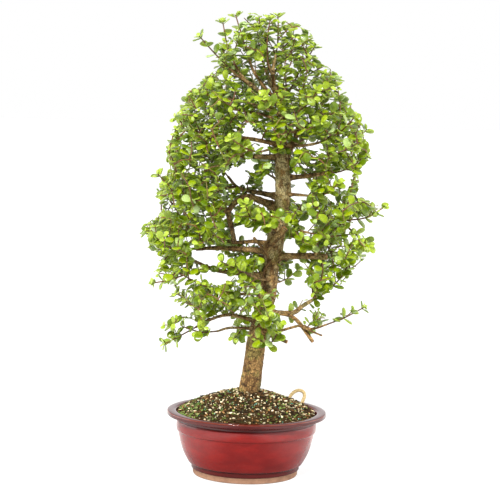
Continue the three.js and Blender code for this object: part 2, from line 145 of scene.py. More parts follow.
LIMBS = {
    # the left side, from the bottom up
    "left_stub": Limb(2.6, 1.6, 4, ((15, 0, 238), (-28, -30, 244), (-50, -42, 240))),
    "left_low": Limb(3.2, 1.8, 5, ((18, 2, 249), (-32, -8, 261), (-66, -28, 254), (-84, -40, 245))),
    "left_low_rear": Limb(2.6, 1.5, 4, ((27, 4, 285), (-23, 40, 270), (-68, 58, 265))),
    "left_light": Limb(2.8, 1.5, 5, ((28, 4, 295), (-15, -38, 300), (-48, -58, 308))),
    "left_dark": Limb(4.6, 2.1, 5, ((32, 4, 324), (-35, -20, 332), (-65, -35, 340), (-88, -48, 352))),
    "left_tip_low": Limb(2, 1.5, 4, ((-65, -35, 340), (-84, -56, 338), (-100, -64, 332))),
    "left_mid": Limb(5, 2.5, 5, ((36, 2, 365), (-21, 10, 366), (-60, 14, 366), (-88, 8, 364))),
    "left_mid_rear": Limb(3.8, 1.7, 4, (
        (37, 2, 374), (8, 8, 379), (-21, 16, 376),
        (-60, 42, 374), (-96, 68, 378),
    )),
    "left_thick": Limb(5.6, 3.4, 0, (
        (40, 0, 435), (3, -10, 450), (-16, -14, 450), (-36, -18, 430),
        (-32, -12, 405), (-26, 6, 378),
    )),
    "left_thick_arm": Limb(3, 1.6, 5, ((-36, -18, 430), (-64, -38, 436), (-87, -52, 442))),
    "left_far": Limb(2.4, 1.5, 4, ((-36, -18, 430), (-66, -4, 412), (-96, 4, 398), (-116, 6, 392))),
    "left_high": Limb(4.4, 2, 5, (
        (46, 0, 452), (16, 8, 457), (-7, 12, 460),
        (-25, 14, 466), (-40, 22, 482),
    )),
    "left_high_far": Limb(2.4, 1.5, 4, ((-25, 14, 466), (-58, 2, 460), (-84, -12, 456))),
    "left_shade": Limb(4.6, 2, 5, (
        (46, 2, 516), (14, 20, 515), (-13, 30, 515),
        (-46, 44, 515), (-70, 52, 512),
    )),
    "left_pale": Limb(3.8, 1.8, 4, (
        (45, 2, 534), (13, -14, 541), (-22, -26, 546),
        (-48, -38, 548), (-70, -46, 550),
    )),
    "left_fan_rear": Limb(2.6, 1.5, 4, ((46, 4, 572), (6, 20, 584), (-20, 38, 588), (-40, 52, 590))),
    "left_fan": Limb(2.6, 1.5, 4, ((46, 4, 581), (12, -15, 594), (-16, -35, 602), (-34, -46, 604))),
    "crown_left": Limb(3.4, 1.7, 4, (
        (42, 5, 598), (20, -8, 610), (-6, -18, 628),
        (-22, -24, 643), (-31, -27, 657),
    )),
    "crown_left_high": Limb(3.4, 1.8, 4, (
        (39, 6, 606), (24, -6, 616), (8, -12, 634),
        (-4, -15, 652), (-10, -17, 668),
    )),
    "crown_fan": Limb(2.8, 1.5, 4, ((-6, -18, 628), (-19, -29, 636), (-32, -36, 645), (-42, -40, 654))),
    # the right side, from the bottom up
    "right_low": Limb(4.4, 2.1, 4, (
        (24, 3, 266), (68, -20, 269), (85, -28, 282),
        (103, -35, 295), (120, -44, 308),
    )),
    "right_low_up": Limb(1.8, 1.5, 4, ((103, -35, 295), (100, -24, 310), (105, -14, 324))),
    "right_cut_low": Limb(3.4, 3, 0, ((21, 3, 265), (69, -22, 263), (102, -46, 228))),
    "right_ringed": Limb(2.6, 1.5, 4, (
        (15, 0, 236), (47, -25, 240), (81, -40, 252),
        (100, -50, 249), (122, -58, 258),
    )),
    "right_cut_twig": Limb(1.8, 1.5, 0, ((81, -40, 252), (98, -52, 246), (115, -62, 241))),
    "right_cut_base": Limb(3.4, 3, 0, ((14, 0, 227), (40, -12, 229), (62, -22, 222))),
    "right_base_twig": Limb(2, 1.5, 4, ((12, 0, 213), (22, -20, 216), (27, -32, 218))),
    "right_thick": Limb(5.4, 4.8, 0, ((36, 2, 357), (68, -10, 359), (94, -20, 361), (121, -26, 361))),
    "right_riser": Limb(2.4, 1.6, 4, ((105, -23, 362), (103, -20, 380), (116, -8, 388))),
    "right_shade": Limb(3.4, 1.6, 5, ((47, 0, 425), (64, -12, 424), (75, -32, 404), (92, -46, 400))),
    "right_far": Limb(3, 1.6, 4, (
        (50, 0, 438), (86, 25, 427), (112, 29, 420),
        (135, 29, 416), (157, 24, 416),
    )),
    "right_far_low": Limb(1.8, 1.5, 4, ((135, 29, 416), (150, 6, 410), (160, -8, 402))),
    "right_far_rear": Limb(2, 1.5, 4, ((112, 29, 420), (128, 54, 420), (136, 72, 426))),
    "right_mid": Limb(3, 1.6, 5, ((51, 0, 457), (75, -25, 458), (92, -44, 458))),
    "right_high": Limb(4.3, 1.9, 5, ((48, 0, 483), (85, 10, 486), (119, 20, 493), (131, 27, 506))),
    "right_high_low": Limb(1.8, 1.5, 4, ((117, 20, 492), (131, 5, 494), (139, -8, 496))),
    "right_upper": Limb(3, 1.5, 4, ((47, 2, 535), (73, -20, 535), (98, -34, 540), (112, -42, 546))),
    "right_upper_rear": Limb(3.2, 1.5, 5, ((46, 4, 556), (74, 13, 558), (88, 22, 566), (94, 26, 576))),
    "right_upper_back": Limb(2, 1.5, 4, ((88, 22, 566), (106, 46, 565), (116, 58, 569))),
    "crown_right": Limb(2.6, 1.5, 4, ((46, 4, 578), (60, -22, 584), (70, -36, 590))),
    "crown_right_high": Limb(2.4, 1.5, 4, ((42, 6, 600), (52, 2, 615), (58, -2, 628))),
    # the top
    "top_right": Limb(3, 1.8, 3, ((31, 5, 622), (28, -8, 646), (29, -14, 662), (32, -16, 678))),
    "top_rear": Limb(2.2, 1.5, 4, ((23, 4, 637), (30, 20, 650), (36, 28, 658))),
    "top_front": Limb(2.8, 1.8, 3, ((28, -8, 646), (20, -16, 660), (18, -22, 676))),
    # the front
    "front_low": Limb(2.4, 1.5, 5, ((22, 2, 269), (27, -24, 274), (29, -44, 268))),
    "front_left": Limb(2.8, 1.5, 5, ((34, 4, 318), (14, -44, 326), (0, -66, 334))),
    "front_mid": Limb(2.8, 1.5, 4, ((42, 0, 400), (26, -42, 408), (10, -68, 416))),
    "front_upper": Limb(3, 1.5, 5, ((46, 2, 527), (32, -36, 530), (12, -72, 526))),
    "front_high": Limb(2.6, 1.5, 4, ((47, 4, 568), (42, -36, 578), (32, -66, 588))),
    # the back
    "rear_leader": Limb(6, 3, 0, ((46, 0, 500), (59, 22, 527), (70, 34, 556), (74, 44, 588))),
    "rear_leader_top": Limb(3, 1.6, 4, ((74, 44, 588), (74, 50, 600), (73, 52, 612))),
    "rear_low": Limb(2.8, 1.5, 4, ((31, 4, 312), (42, 48, 308), (52, 78, 306))),
    "rear_left": Limb(3, 1.5, 4, ((35, 3, 350), (12, 56, 352), (-8, 86, 358))),
    "rear_right": Limb(3, 1.5, 4, ((40, 1, 386), (54, 50, 390), (70, 84, 396))),
    "rear_high": Limb(3, 1.5, 4, ((48, 0, 470), (38, 56, 478), (22, 92, 486))),
    "rear_upper": Limb(3, 1.5, 4, ((62, 26, 536), (78, 62, 542), (92, 88, 548))),
    "rear_crown": Limb(2.6, 1.5, 4, ((46, 5, 566), (26, 48, 580), (8, 74, 596))),
    # cut stubs and a thin old twig on the trunk's front
    "front_cut": Limb(6, 5.2, 0, ((26, -4, 370), (40, -14, 388), (54, -19, 405))),
    "front_cross": Limb(2.8, 2.2, 0, ((31, -4, 354), (18, -15, 372), (4, -17, 388))),
    "front_thread": Limb(1.6, 1.2, 0, ((33, -8, 354), (23, -14, 336), (21, -13, 318), (24, -8, 306))),
}

LEADER = Limb(2, 1.6, 4, tuple(row[:3] for row in TRUNK[-2:]))

# The tie rope's loop
ROPE = (
    (66, 31, 90), (67, 31, 106), (70, 31, 118.5), (75, 31.5, 126.5), (82, 33, 131), (89, 34.5, 131),
    (94, 35, 127), (95, 34, 121), (92.5, 32.5, 114.5), (90, 31.5, 104), (89, 31, 90),
)

# The pot's section: the curved outside from the foot to the lip's inner edge, then the inside
POT_OUTSIDE = (
    (FOOT_RADIUS - 1, 0), (FOOT_RADIUS, 1.5), (FOOT_RADIUS + 0.5, 9.4), (87.6, 10.4), (88.4, 17),
    (92.4, 19.6), (100, 33), (104.5, 45), (108, 58), (111, 71), (113, 73), (113.6, 80), (113, 87.5),
    (111.8, 90), (113, 93.6), (120, 96.2), (LIP_RADIUS - 1, 97.4), (LIP_RADIUS, 99),
    (LIP_RADIUS, 102.4), (LIP_RADIUS - 1.8, POT_HEIGHT - 0.1), (117, POT_HEIGHT), (114.5, 103),
)
POT_INSIDE = ((106, 74), (100, 52), (91, 28), (80, 14), (72, FLOOR))
SOIL_DOME = ((112.5, 100), (105, 106), (93, 112.3), (79, 118.8), (62, 125.2), (44, 131.6), (24, 136.6))


@dataclass(frozen=True)
class Opening:
    """An open place in the crown, seen from the front, in the plane of the trunk."""

    x: float
    z: float
    half_long: float
    half_short: float
    tilt: float

    def holds(self, x: float, z: float) -> bool:
        """True where a place seen from the front lies in the opening."""
        c, s = math.cos(math.radians(self.tilt)), math.sin(math.radians(self.tilt))
        along, across = (x - self.x) * c + (z - self.z) * s, (z - self.z) * c - (x - self.x) * s
        half_long, half_short = self.half_long + OPENING_SPARE, self.half_short + OPENING_SPARE
        return (along / half_long) ** 2 + (across / half_short) ** 2 < 1


# Where light shows through the crown, each given as x, z, half the length, half the width and
# the tilt in degrees
OPENING_SPARE = 3.5
OPENINGS = tuple(Opening(*row) for row in (
    # the upper crown
    (-1, 547, 15, 5, 165), (94, 539, 12, 7, 0), (14, 525, 10, 5, 0), (-1, 501, 12, 6, 0),
    # between the limbs beside the trunk
    (-26, 483, 16, 11, 0), (28, 472, 17, 9, 90), (78, 460, 14, 11, 90), (18, 450, 14, 4, 165),
    (-14, 395, 12, 9, 0), (9, 384, 10, 5, 0), (86, 411, 14, 7, 90), (62, 373, 12, 7, 90),
    # the right side
    (140, 474, 24, 13, 60), (182, 411, 16, 10, 0), (162, 399, 12, 9, 90), (78, 330, 17, 9, 90),
    (54, 312, 15, 7, 90), (87, 301, 12, 9, 0), (140, 285, 22, 15, 0), (140, 246, 26, 10, 20),
    (73, 230, 16, 9, 0),
    # the lower left
    (-65, 353, 30, 9, 170), (-58, 320, 24, 8, 0), (-100, 317, 12, 7, 0), (-137, 300, 14, 10, 0),
    (-108, 265, 14, 6, 0), (-100, 238, 16, 10, 0), (-46, 252, 19, 6, 10), (-46, 230, 24, 8, 10),
))

# The crown's outline seen from the front: a height and how far it reaches to each side
CROWN = (
    (206, 9, 50), (222, -138, 105), (241, -154, 111), (263, -119, 178), (282, -137, 185),
    (301, -142, 137), (322, -166, 162), (342, -151, 175), (371, -167, 198), (396, -186, 182),
    (418, -154, 201), (439, -150, 217), (460, -161, 169), (495, -135, 175), (520, -145, 191),
    (547, -135, 182), (579, -127, 175), (610, -116, 153), (637, -87, 143), (658, -68, 124),
    (678, -70, 98), (705, -55, 98), (726, -30, 76), (742, -17, 18),
)
CROWN_DEPTH = 118.0
RAGGED = 6.0

# Where along a shoot the crown's bounds are tested, and how many leaves to a pair it has to carry
SIDE_PROBES = (0.4, 0.7, 1)
SIDE_LEAFY = 0.8
REACH_PROBES = (0.3, 0.45, 0.6, 0.75, 0.9, 1)
REACH_LEAFY = 0.9

# The stretch of trunk that no added leaf hides, and how wide it is kept open
BARE_TRUNK = ((322.0, 402.0), (434.0, 522.0))
BARE_HALF = 12.0

# Which share of a limb's length stays in plain view, and how wide it is kept open
SHOWN = {
    "left_stub": (0.2, 0.8), "left_low": (0.1, 0.5), "left_dark": (0.1, 0.6), "left_mid": (0.1, 0.85),
    "left_thick": (0.0, 1.0), "left_shade": (0.1, 0.5), "left_high": (0.1, 0.5),
    "left_pale": (0.1, 0.45), "right_low": (0.1, 0.75), "right_cut_low": (0.3, 1.0),
    "right_ringed": (0.3, 0.9), "right_cut_twig": (0.2, 1.0), "right_cut_base": (0.3, 1.0),
    "right_thick": (0.0, 1.0), "right_high": (0.1, 0.7), "right_upper": (0.1, 0.4),
    "left_fan": (0.1, 0.6), "crown_left": (0.3, 1.0), "crown_left_high": (0.3, 1.0),
    "crown_fan": (0.2, 0.9), "top_front": (0.2, 0.9), "top_right": (0.3, 0.9), "front_cut": (0.0, 1.0),
    "front_cross": (0.0, 1.0), "front_thread": (0.0, 1.0),
}
SHOWN_HALF = 6.5
SHOWN_PITCH = 4.0
CAMERA_DISTANCE = 2000.0
CAMERA_HEIGHT = 584.0


def seen_from_front(place: Point) -> tuple[float, float]:
    """Where a place appears on the trunk's plane, seen from the camera.

    Args:
        place: A point in millimetres.

    Returns:
        Its x and z on the plane y = 0.
    """
    share = CAMERA_DISTANCE / (CAMERA_DISTANCE + place[1])
    return place[0] * share, CAMERA_HEIGHT + (place[2] - CAMERA_HEIGHT) * share


@lru_cache(maxsize=1)
def shown_places() -> np.ndarray:
    """Where the limbs that stay in view appear from the front, each with its depth."""
    places = []
    for name, (start, end) in SHOWN.items():
        line = LimbLine(smooth_line(LIMBS[name].route, 6))
        for share in np.arange(start, end, SHOWN_PITCH / line.length):
            place = line.point(float(share))
            places.append((*seen_from_front(place), float(place[1])))
    return np.array(places)


def hides_wood(x: float, y: float, z: float) -> bool:
    """True where a leaf would hide wood that stays in view.

    Args:
        x: The place's x as seen from the front.
        y: Its depth.
        z: Its z as seen from the front.
    """
    trunk_x = float(np.interp(z, [row[2] for row in TRUNK], [row[0] for row in TRUNK]))
    if y < 0 and abs(x - trunk_x) < BARE_HALF and any(low < z < high for low, high in BARE_TRUNK):
        return True
    rows = shown_places()
    near = (rows[:, 0] - x) ** 2 + (rows[:, 1] - z) ** 2 < SHOWN_HALF**2
    return bool((near & (rows[:, 2] > y - 2)).any())


def in_crown(place: Point) -> bool:
    """True where a place lies inside the crown's outline and outside its openings.

    Args:
        place: A point in millimetres.
    """
    x, z = seen_from_front(place)
    heights = [row[0] for row in CROWN]
    if not heights[0] < z < heights[-1]:
        return False
    left = float(np.interp(z, heights, [row[1] for row in CROWN]))
    right = float(np.interp(z, heights, [row[2] for row in CROWN]))
    y = float(place[1])
    left += RAGGED * (1 + noise.noise(Vector((z / 21, y / 38, 3))))
    right -= RAGGED * (1 + noise.noise(Vector((z / 21, y / 38, 9))))
    if not left < x < right:
        return False
    if abs(place[1]) > CROWN_DEPTH * min(1.0, 0.35 + (heights[-1] - z) / 220):
        return False
    if hides_wood(x, y, z):
        return False
    return not any(opening.holds(x, z) for opening in OPENINGS)


class Draws:
    """Seeded draws, the same on every run."""

    def __init__(self, seed: int) -> None:
        """Starts from a seed."""
        self.state = seed % 2**32

    def next(self) -> float:
        """The next number between 0 and 1."""
        self.state = (self.state * 1664525 + 1013904223) % 2**32
        return self.state / 2**32

    def between(self, low: float, high: float) -> float:
        """The next number between two others."""
        return low + (high - low) * self.next()


# Lines and directions
def unit(direction: Point) -> Point:
    """A direction of length 1."""
    return direction / np.linalg.norm(direction)


def crosswise(tangent: Point) -> Point:
    """A level direction square to a tangent, or +X beside an upright one."""
    level = point(-tangent[1], tangent[0], 0)
    return point(1, 0, 0) if np.linalg.norm(level) < 0.2 else level


def around(tangent: Point, angle: float) -> Point:
    """The direction at an angle around a tangent."""
    level = crosswise(tangent)
    level = unit(level - tangent * level.dot(tangent))
    return level * math.cos(angle) + np.cross(tangent, level) * math.sin(angle)


def curve_point(places: Sequence[Point], share: float) -> Point:
    """A point on the smooth curve through some places.

    Args:
        places: The places that the curve passes through.
        share: How far along, from 0 to 1, with each span the same.

    Returns:
        The point there.
    """
    spans = len(places) - 1
    span = min(int(spans * share), spans - 1)
    t = spans * share - span
    p1, p2 = places[span], places[span + 1]
    p0 = places[span - 1] if span > 0 else 2 * p1 - p2
    p3 = places[span + 2] if span + 2 <= spans else 2 * p2 - p1
    start, end = 0.5 * (p2 - p0), 0.5 * (p3 - p1)
    cube = 2 * p1 - 2 * p2 + start + end
    square = -3 * p1 + 3 * p2 - 2 * start - end
    return ((cube * t + square) * t + start) * t + p1


def smooth_line(route: Iterable[Sequence[float]], stretch: float = math.inf) -> list[Point]:
    """Points along a smooth line through a route.

    Args:
        route: The places that it passes through.
        stretch: About how far apart the points are.

    Returns:
        Every route point and, on long stretches, more between.
    """
    places = [point(*place[:3]) for place in route]
    spans = len(places) - 1
    fine = [curve_point(places, i / 200) for i in range(201)]
    length = sum(float(np.linalg.norm(b - a)) for a, b in zip(fine, fine[1:]))
    steps = spans * max(1, math.floor(length / spans / stretch + 0.5))
    return [curve_point(places, i / steps) for i in range(steps + 1)]


def tapered(root: float, end: float, count: int) -> list[float]:
    """Radii from a root's to an end's."""
    return [root + (end - root) * i / (count - 1) for i in range(count)]


# Growth
@dataclass
class Leaf:
    """One leaf: where it joins its twig, how it lies, its length and how young it is."""

    base: Point
    forward: Point
    face: Point
    length: float
    youth: float
    tone: float


@dataclass
class Shoot:
    """A leafy twig."""

    points: list[Point]
    radii: list[float]
    leaves: list[Leaf] = field(default_factory=list)
    youth: float = 0.5


class Twig:
    """A twig's line of straight stretches."""

    def __init__(self, base: Point, direction: Point, bend: Point, length: float) -> None:
        """Lays the line out.

        Args:
            base: Where it starts.
            direction: Which way it starts.
            bend: How far its tip bends off that way.
            length: Its length.
        """
        shares = [i / TWIG_STEPS for i in range(TWIG_STEPS + 1)]
        self.points = [base + direction * (length * share) + bend * share**2 for share in shares]

    def stretch(self, along: float) -> int:
        """The stretch that a share of the length falls on."""
        return min(int(along * TWIG_STEPS), TWIG_STEPS - 1)

    def point(self, along: float) -> Point:
        """The point at a share of the length."""
        i = self.stretch(along)
        share = along * TWIG_STEPS - i
        return self.points[i] * (1 - share) + self.points[i + 1] * share

    def tangent(self, along: float) -> Point:
        """The direction at a share of the length."""
        i = self.stretch(along)
        return unit(self.points[i + 1] - self.points[i])


class Room:
    """The places already taken, as balls kept by the cell that they lie in."""

    CELL = 32.0

    def __init__(self) -> None:
        """Starts empty."""
        self.cells: dict[tuple[int, int, int], list[tuple[float, float, float, float, int]]] = (
            defaultdict(list)
        )

    def cell(self, place: Point) -> tuple[int, int, int]:
        """The cell that a place lies in."""
        return tuple(int(math.floor(value / self.CELL)) for value in place)

    def take(self, centre: Point, radius: float, owner: int) -> None:
        """Marks a ball as taken."""
        ball = (float(centre[0]), float(centre[1]), float(centre[2]), radius, owner)
        self.cells[self.cell(centre)].append(ball)

    def take_along(self, points: Sequence[Point], radii: Sequence[float], owner: int) -> None:
        """Marks a line of balls as taken.

        Args:
            points: The line.
            radii: The radius at each point.
            owner: Whose they are.
        """
        for i in range(1, len(points)):
            count = math.ceil(float(np.linalg.norm(points[i] - points[i - 1])) / BALL_PITCH)
            for j in range(count + 1):
                share = j / count
                radius = radii[i - 1] + (radii[i] - radii[i - 1]) * share
                place = points[i - 1] + (points[i] - points[i - 1]) * share
                self.take(place, radius + CLEARANCE, owner)

    def is_clear(
        self, centre: Point, radius: float, owner: int, own: float, other: float = 1.0
    ) -> bool:
        """Whether a ball is clear of those taken.

        Args:
            centre: The ball's centre.
            radius: Its radius.
            owner: Whose it is.
            own: How near it may come to a ball of the same owner, as a share of both radii.
            other: The same for any other ball.

        Returns:
            True where it is clear.
        """
        x, y, z = (float(value) for value in centre)
        low = self.cell(centre - self.CELL)
        for i in range(low[0], low[0] + 3):
            for j in range(low[1], low[1] + 3):
                for k in range(low[2], low[2] + 3):
                    for bx, by, bz, ball, whose in self.cells.get((i, j, k), ()):
                        reach = (own if whose == owner else other) * (radius + ball)
                        if (x - bx) ** 2 + (y - by) ** 2 + (z - bz) ** 2 < reach * reach:
                            return False
        return True


def leaf_pose(tangent: Point, outward: Point) -> tuple[Point, Point]:
    """Where a leaf points and faces: out from its twig, turned up to the light.

    Args:
        tangent: The twig's direction.
        outward: The side of the twig that it grows on.

    Returns:
        Its forward direction and the way its upper side faces.
    """
    forward = unit(tangent * LEAN.along + outward * LEAN.out + UP * LEAN.up)
    face = tangent * LEAN.face_along + UP * LEAN.face_up
    return forward, unit(face - forward * face.dot(forward))


def open_pose(tangent: Point, outward: Point, height: float) -> tuple[Point, Point]:
    """Where an added leaf points and faces: the higher it sits, the more level it is spread.

    Args:
        tangent: The twig's direction.
        outward: The side of the twig that it grows on.
        height: How high it sits.

    Returns:
        Its forward direction and the way its upper side faces.
    """
    level = float(np.interp(height, (280, 420, 580), (0, 0.2, 0.4)))
    forward = unit(tangent * 0.35 + outward * point(1, 1, 1 - level) + UP * 0.05)
    face = tangent * (0.75 - 0.6 * level) + UP * 1.0 + point(0, -0.35 * (1 - level), 0)
    return forward, unit(face - forward * face.dot(forward))


class Zone(Enum):
    """The pieces that the added shoots are gathered in."""

    LEFT = "shoots_left"
    RIGHT = "shoots_right"
    TOP = "shoots_top"
    FRONT = "shoots_front"
    REAR = "shoots_rear"

    @classmethod
    def of(cls, limb: str) -> "Zone":
        """The zone that a limb belongs to, by the first word of its name."""
        words = {"left": cls.LEFT, "right": cls.RIGHT, "front": cls.FRONT, "rear": cls.REAR}
        return words.get(limb.split("_")[0], cls.TOP)

    @classmethod
    def at(cls, place: Point) -> "Zone":
        """The zone that a place lies in."""
        if place[2] > 610:
            return cls.TOP
        if abs(place[1]) > 35:
            return cls.FRONT if place[1] < 0 else cls.REAR
        return cls.LEFT if place[0] < 35 else cls.RIGHT


@dataclass(frozen=True)
class FillRule:
    """How the added shoots fill the crown."""

    pitch: float = 8.0
    bare: float = 0.28
    least_bare: float = 24.0
    internode: float = 7.5
    leaf: float = 15.5
    own: float = 0.42
    other: float = 0.62
    side_pitch: float = 9.0
    grid: tuple[float, float, float] = (15.0, 22.0, 15.0)
    free: float = 7.5
    nearest: float = 14.0
    furthest: float = 78.0


class Growth:
    """Grows the whole tree's foliage, keeping it clear of the wood and of itself."""

    WOOD = 0

    def __init__(self) -> None:
        """Takes the room that the trunk and limbs stand in."""
        self.room = Room()
        self.rule = FillRule()
        self.sprays: dict[str, list[Shoot]] = {}
        self.zones: dict[Zone, list[Shoot]] = {zone: [] for zone in Zone}
        self.owners = 1
        self.room.take_along(smooth_line(TRUNK), [row[3] for row in TRUNK], self.WOOD)
        for limb in LIMBS.values():
            points = smooth_line(limb.route, LIMB_STRETCH)
            self.room.take_along(points, tapered(limb.root, limb.end, len(points)), self.WOOD)

    def run(self) -> None:
        """Grows the sprays of the solids first, then everything that fills the crown."""
        leafy = [(name, limb) for name, limb in LIMBS.items() if limb.pairs > 0]
        bases: dict[str, tuple[Twig, Draws, int]] = {}
        for index, (name, limb) in enumerate([*leafy, ("leader", LEADER)]):
            bases[name] = self.grow_spray(name, limb, FIRST_SEED + SEED_STEP * index)
        for name, (twig, draws, owner) in bases.items():
            self.enrich_spray(name, twig, draws, owner)
        for index, (name, limb) in enumerate(LIMBS.items()):
            self.fill_limb(name, limb, Draws(9001 + 13 * index))
        self.fill_trunk(Draws(7001))
        self.fill_gaps(Draws(4001))

    def grow_spray(self, name: str, limb: Limb, seed: int) -> tuple[Twig, Draws, int]:
        """Grows one end spray exactly as the solids have it.

        Args:
            name: The limb's name.
            limb: The limb that it ends.
            seed: Its seed.

        Returns:
            Its twig, its draws and its owner number.
        """
        draws = Draws(seed)
        owner = self.owners
        self.owners += 1
        end = point(*limb.route[-1])
        outward = unit(end - point(*limb.route[-2]))
        base = end + outward * GAP
        length = INTERNODE * (limb.pairs + SPRAY.spare * draws.next())
        twig = None
        for _ in range(SPRAY.trials):
            sway = around(outward, TAU * draws.next()) * (SPRAY.sway * length)
            twig = Twig(base, outward, sway + UP * (SPRAY.rise * length), length)
            if all(
                self.room.is_clear(twig.point(along), TWIG_RADIUS + CLEARANCE, owner, 0)
                for along in SPRAY.probes
            ):
                break
        radii = tapered(TWIG_RADIUS, TIP_RADIUS, len(twig.points))
        self.room.take_along(twig.points, radii, owner)
        shoot = Shoot(twig.points, radii, youth=0.45)
        self.sprays[name] = [shoot]
        start = TAU * draws.next()
        for pair in range(limb.pairs):
            along = SPRAY.first + (SPRAY.last - SPRAY.first) * pair / (limb.pairs - 1)
            size = SPRAY.small + SPRAY.vary * draws.next() - SPRAY.shrink * along * along
            angle = start + math.pi / 2 * pair + SPRAY.wobble * (draws.next() - 0.5)
            for turn in (0, math.pi):
                self.grow_leaf(shoot, twig, along, angle + turn, LEAF_LENGTH * size, owner)
        return twig, draws, owner

    def grow_leaf(
        self, shoot: Shoot, twig: Twig, along: float, angle: float, length: float, owner: int,
        own: float = SPRAY.own_share, other: float = 1.0, bounded: bool = False, youth: float = 0.0,
        tone: float = 0.5,
    ) -> bool:
        """Grows one leaf, turned about its twig until it is clear.

        Args:
            shoot: The shoot that it joins.
            twig: The shoot's line.
            along: Where on the twig it sits.
            angle: Which side it grows on.
            length: Its length.
            owner: The shoot's owner number.
            own: How near it may come to its own shoot.
            other: How near it may come to others.
            bounded: Whether it has to lie inside the crown.
            youth: How young it is, from 0 to 1.
            tone: Its own shade, from 0 to 1.

        Returns:
            True where a place was found.
        """
        node, tangent = twig.point(along), twig.tangent(along)
        for turn in SPRAY.turns:
            side = around(tangent, angle + turn)
            forward, face = open_pose(tangent, side, node[2]) if bounded else leaf_pose(tangent, side)
            centre = node + forward * (length / 2)
            if bounded and not (in_crown(centre) and in_crown(node + forward * length)):
                continue
            if self.room.is_clear(centre, length / 2, owner, own, other):
                self.room.take(centre, length / 2, owner)
                shoot.leaves.append(Leaf(node + forward * LEAF_SEAT, forward, face, length, youth, tone))
                return True
        return False

    def enrich_spray(self, name: str, twig: Twig, draws: Draws, owner: int) -> None:
        """Adds the in-between leaves, tip leaves and side shoots of one end spray.

        Args:
            name: The limb's name.
            twig: The spray's main line.
            draws: The spray's draws.
            owner: The spray's owner number.
        """
        main = self.sprays[name][0]
        for leaf in main.leaves:
            leaf.tone = draws.next()
            leaf.youth = draws.between(0.0, 0.45)
        length = sum(float(np.linalg.norm(b - a)) for a, b in zip(twig.points, twig.points[1:]))
        count = max(2, round(length / self.rule.side_pitch))
        for i in range(count):
            along = 0.12 + 0.8 * i / (count - 1)
            self.side_shoot(name, twig, along, draws, Zone.of(name), inside=self.sprays[name])
        for along, size in ((0.97, 0.55), (0.999, 0.4)):
            angle = TAU * draws.next()
            for turn in (0, math.pi):
                self.grow_leaf(
                    main, twig, along, angle + turn, LEAF_LENGTH * size, owner, 0.2, self.rule.other,
                    youth=draws.between(0.7, 1.0), tone=draws.next(),
                )

    def side_shoot(
        self, name: str, line: "Twig | LimbLine", along: float, draws: Draws, zone: Zone,
        inside: Optional[list[Shoot]] = None,
    ) -> None:
        """Grows a short leafy shoot from the side of a twig or limb.

        Args:
            name: The limb that it belongs to.
            line: The line that it grows from.
            along: Where on the line it starts.
            draws: The draws to use.
            zone: The piece that it goes to.
            inside: The spray's own list, where it belongs to a spray.
        """
        rule = self.rule
        owner = self.owners
        self.owners += 1
        node, tangent = line.point(along), line.tangent(along)
        pairs = 2 + int(3 * draws.next())
        length = rule.internode * (pairs + 0.3)
        best = None
        for _ in range(SPRAY.trials):
            side = around(tangent, TAU * draws.next())
            direction = unit(tangent * draws.between(0.35, 0.8) + side * 0.8 + UP * 0.3)
            sway = around(direction, TAU * draws.next()) * (0.12 * length)
            twig = Twig(node, direction, sway + UP * (0.25 * length), length)
            if not all(in_crown(twig.point(share)) for share in SIDE_PROBES):
                continue
            if all(
                self.room.is_clear(twig.point(share), CLEARANCE, owner, 0, 0.9)
                for share in (0.55, 0.75, 1)
            ):
                best = twig
                break
        if best is None:
            return
        radii = tapered(1.0, 0.7, len(best.points))
        shoot = Shoot(best.points, radii, youth=draws.between(0.4, 1.0))
        start = TAU * draws.next()
        tip_youth = draws.between(0.3, 1.0)
        for pair in range(pairs):
            share = 0.25 + 0.73 * pair / (pairs - 1)
            size = rule.leaf * (0.84 + 0.36 * draws.next() - 0.5 * share**4)
            angle = start + math.pi / 2 * pair + 0.5 * (draws.next() - 0.5)
            youth = tip_youth * share**5
            for turn in (0, math.pi):
                self.grow_leaf(
                    shoot, best, share, angle + turn, size, owner, rule.own, rule.other,
                    bounded=True, youth=youth, tone=draws.next(),
                )
        if len(shoot.leaves) < max(2, pairs * SIDE_LEAFY):
            return
        self.room.take_along(best.points[1:], radii[1:], owner)
        (self.zones[zone] if inside is None else inside).append(shoot)

    def fill_limb(self, name: str, limb: Limb, draws: Draws) -> None:
        """Grows side shoots along a limb's outer stretch.

        Args:
            name: The limb's name.
            limb: The limb.
            draws: The draws to use.
        """
        if limb.pairs == 0:
            return
        line = LimbLine(smooth_line(limb.route, 6))
        start = max(self.rule.bare, self.rule.least_bare / line.length)
        if start >= 1:
            return
        count = int(line.length * (1 - start) / self.rule.pitch)
        for i in range(count):
            along = start + (1 - start) * (i + draws.next()) / count
            self.side_shoot(name, line, min(along, 0.995), draws, Zone.of(name))

    def fill_trunk(self, draws: Draws) -> None:
        """Grows short shoots straight from the trunk's upper part."""
        line = LimbLine(smooth_line(TRUNK[5:], 6))
        count = int(line.length / 9)
        for i in range(count):
            self.side_shoot("trunk", line, (i + draws.next()) / count * 0.99, draws, Zone.TOP)

    def skeleton(self) -> tuple[list[Point], list[Point]]:
        """Places on the wood and twigs that a new twig can start from, with their directions."""
        places, ways = [], []
        lines = [smooth_line(limb.route, 7) for limb in LIMBS.values()]
        lines.append(smooth_line(TRUNK[9:], 7))
        for shoots in (*self.sprays.values(), *self.zones.values()):
            lines.extend(shoot.points for shoot in shoots)
        for line in lines:
            for a, b in zip(line, line[1:]):
                places.append(b)
                ways.append(unit(b - a))
        return places, ways

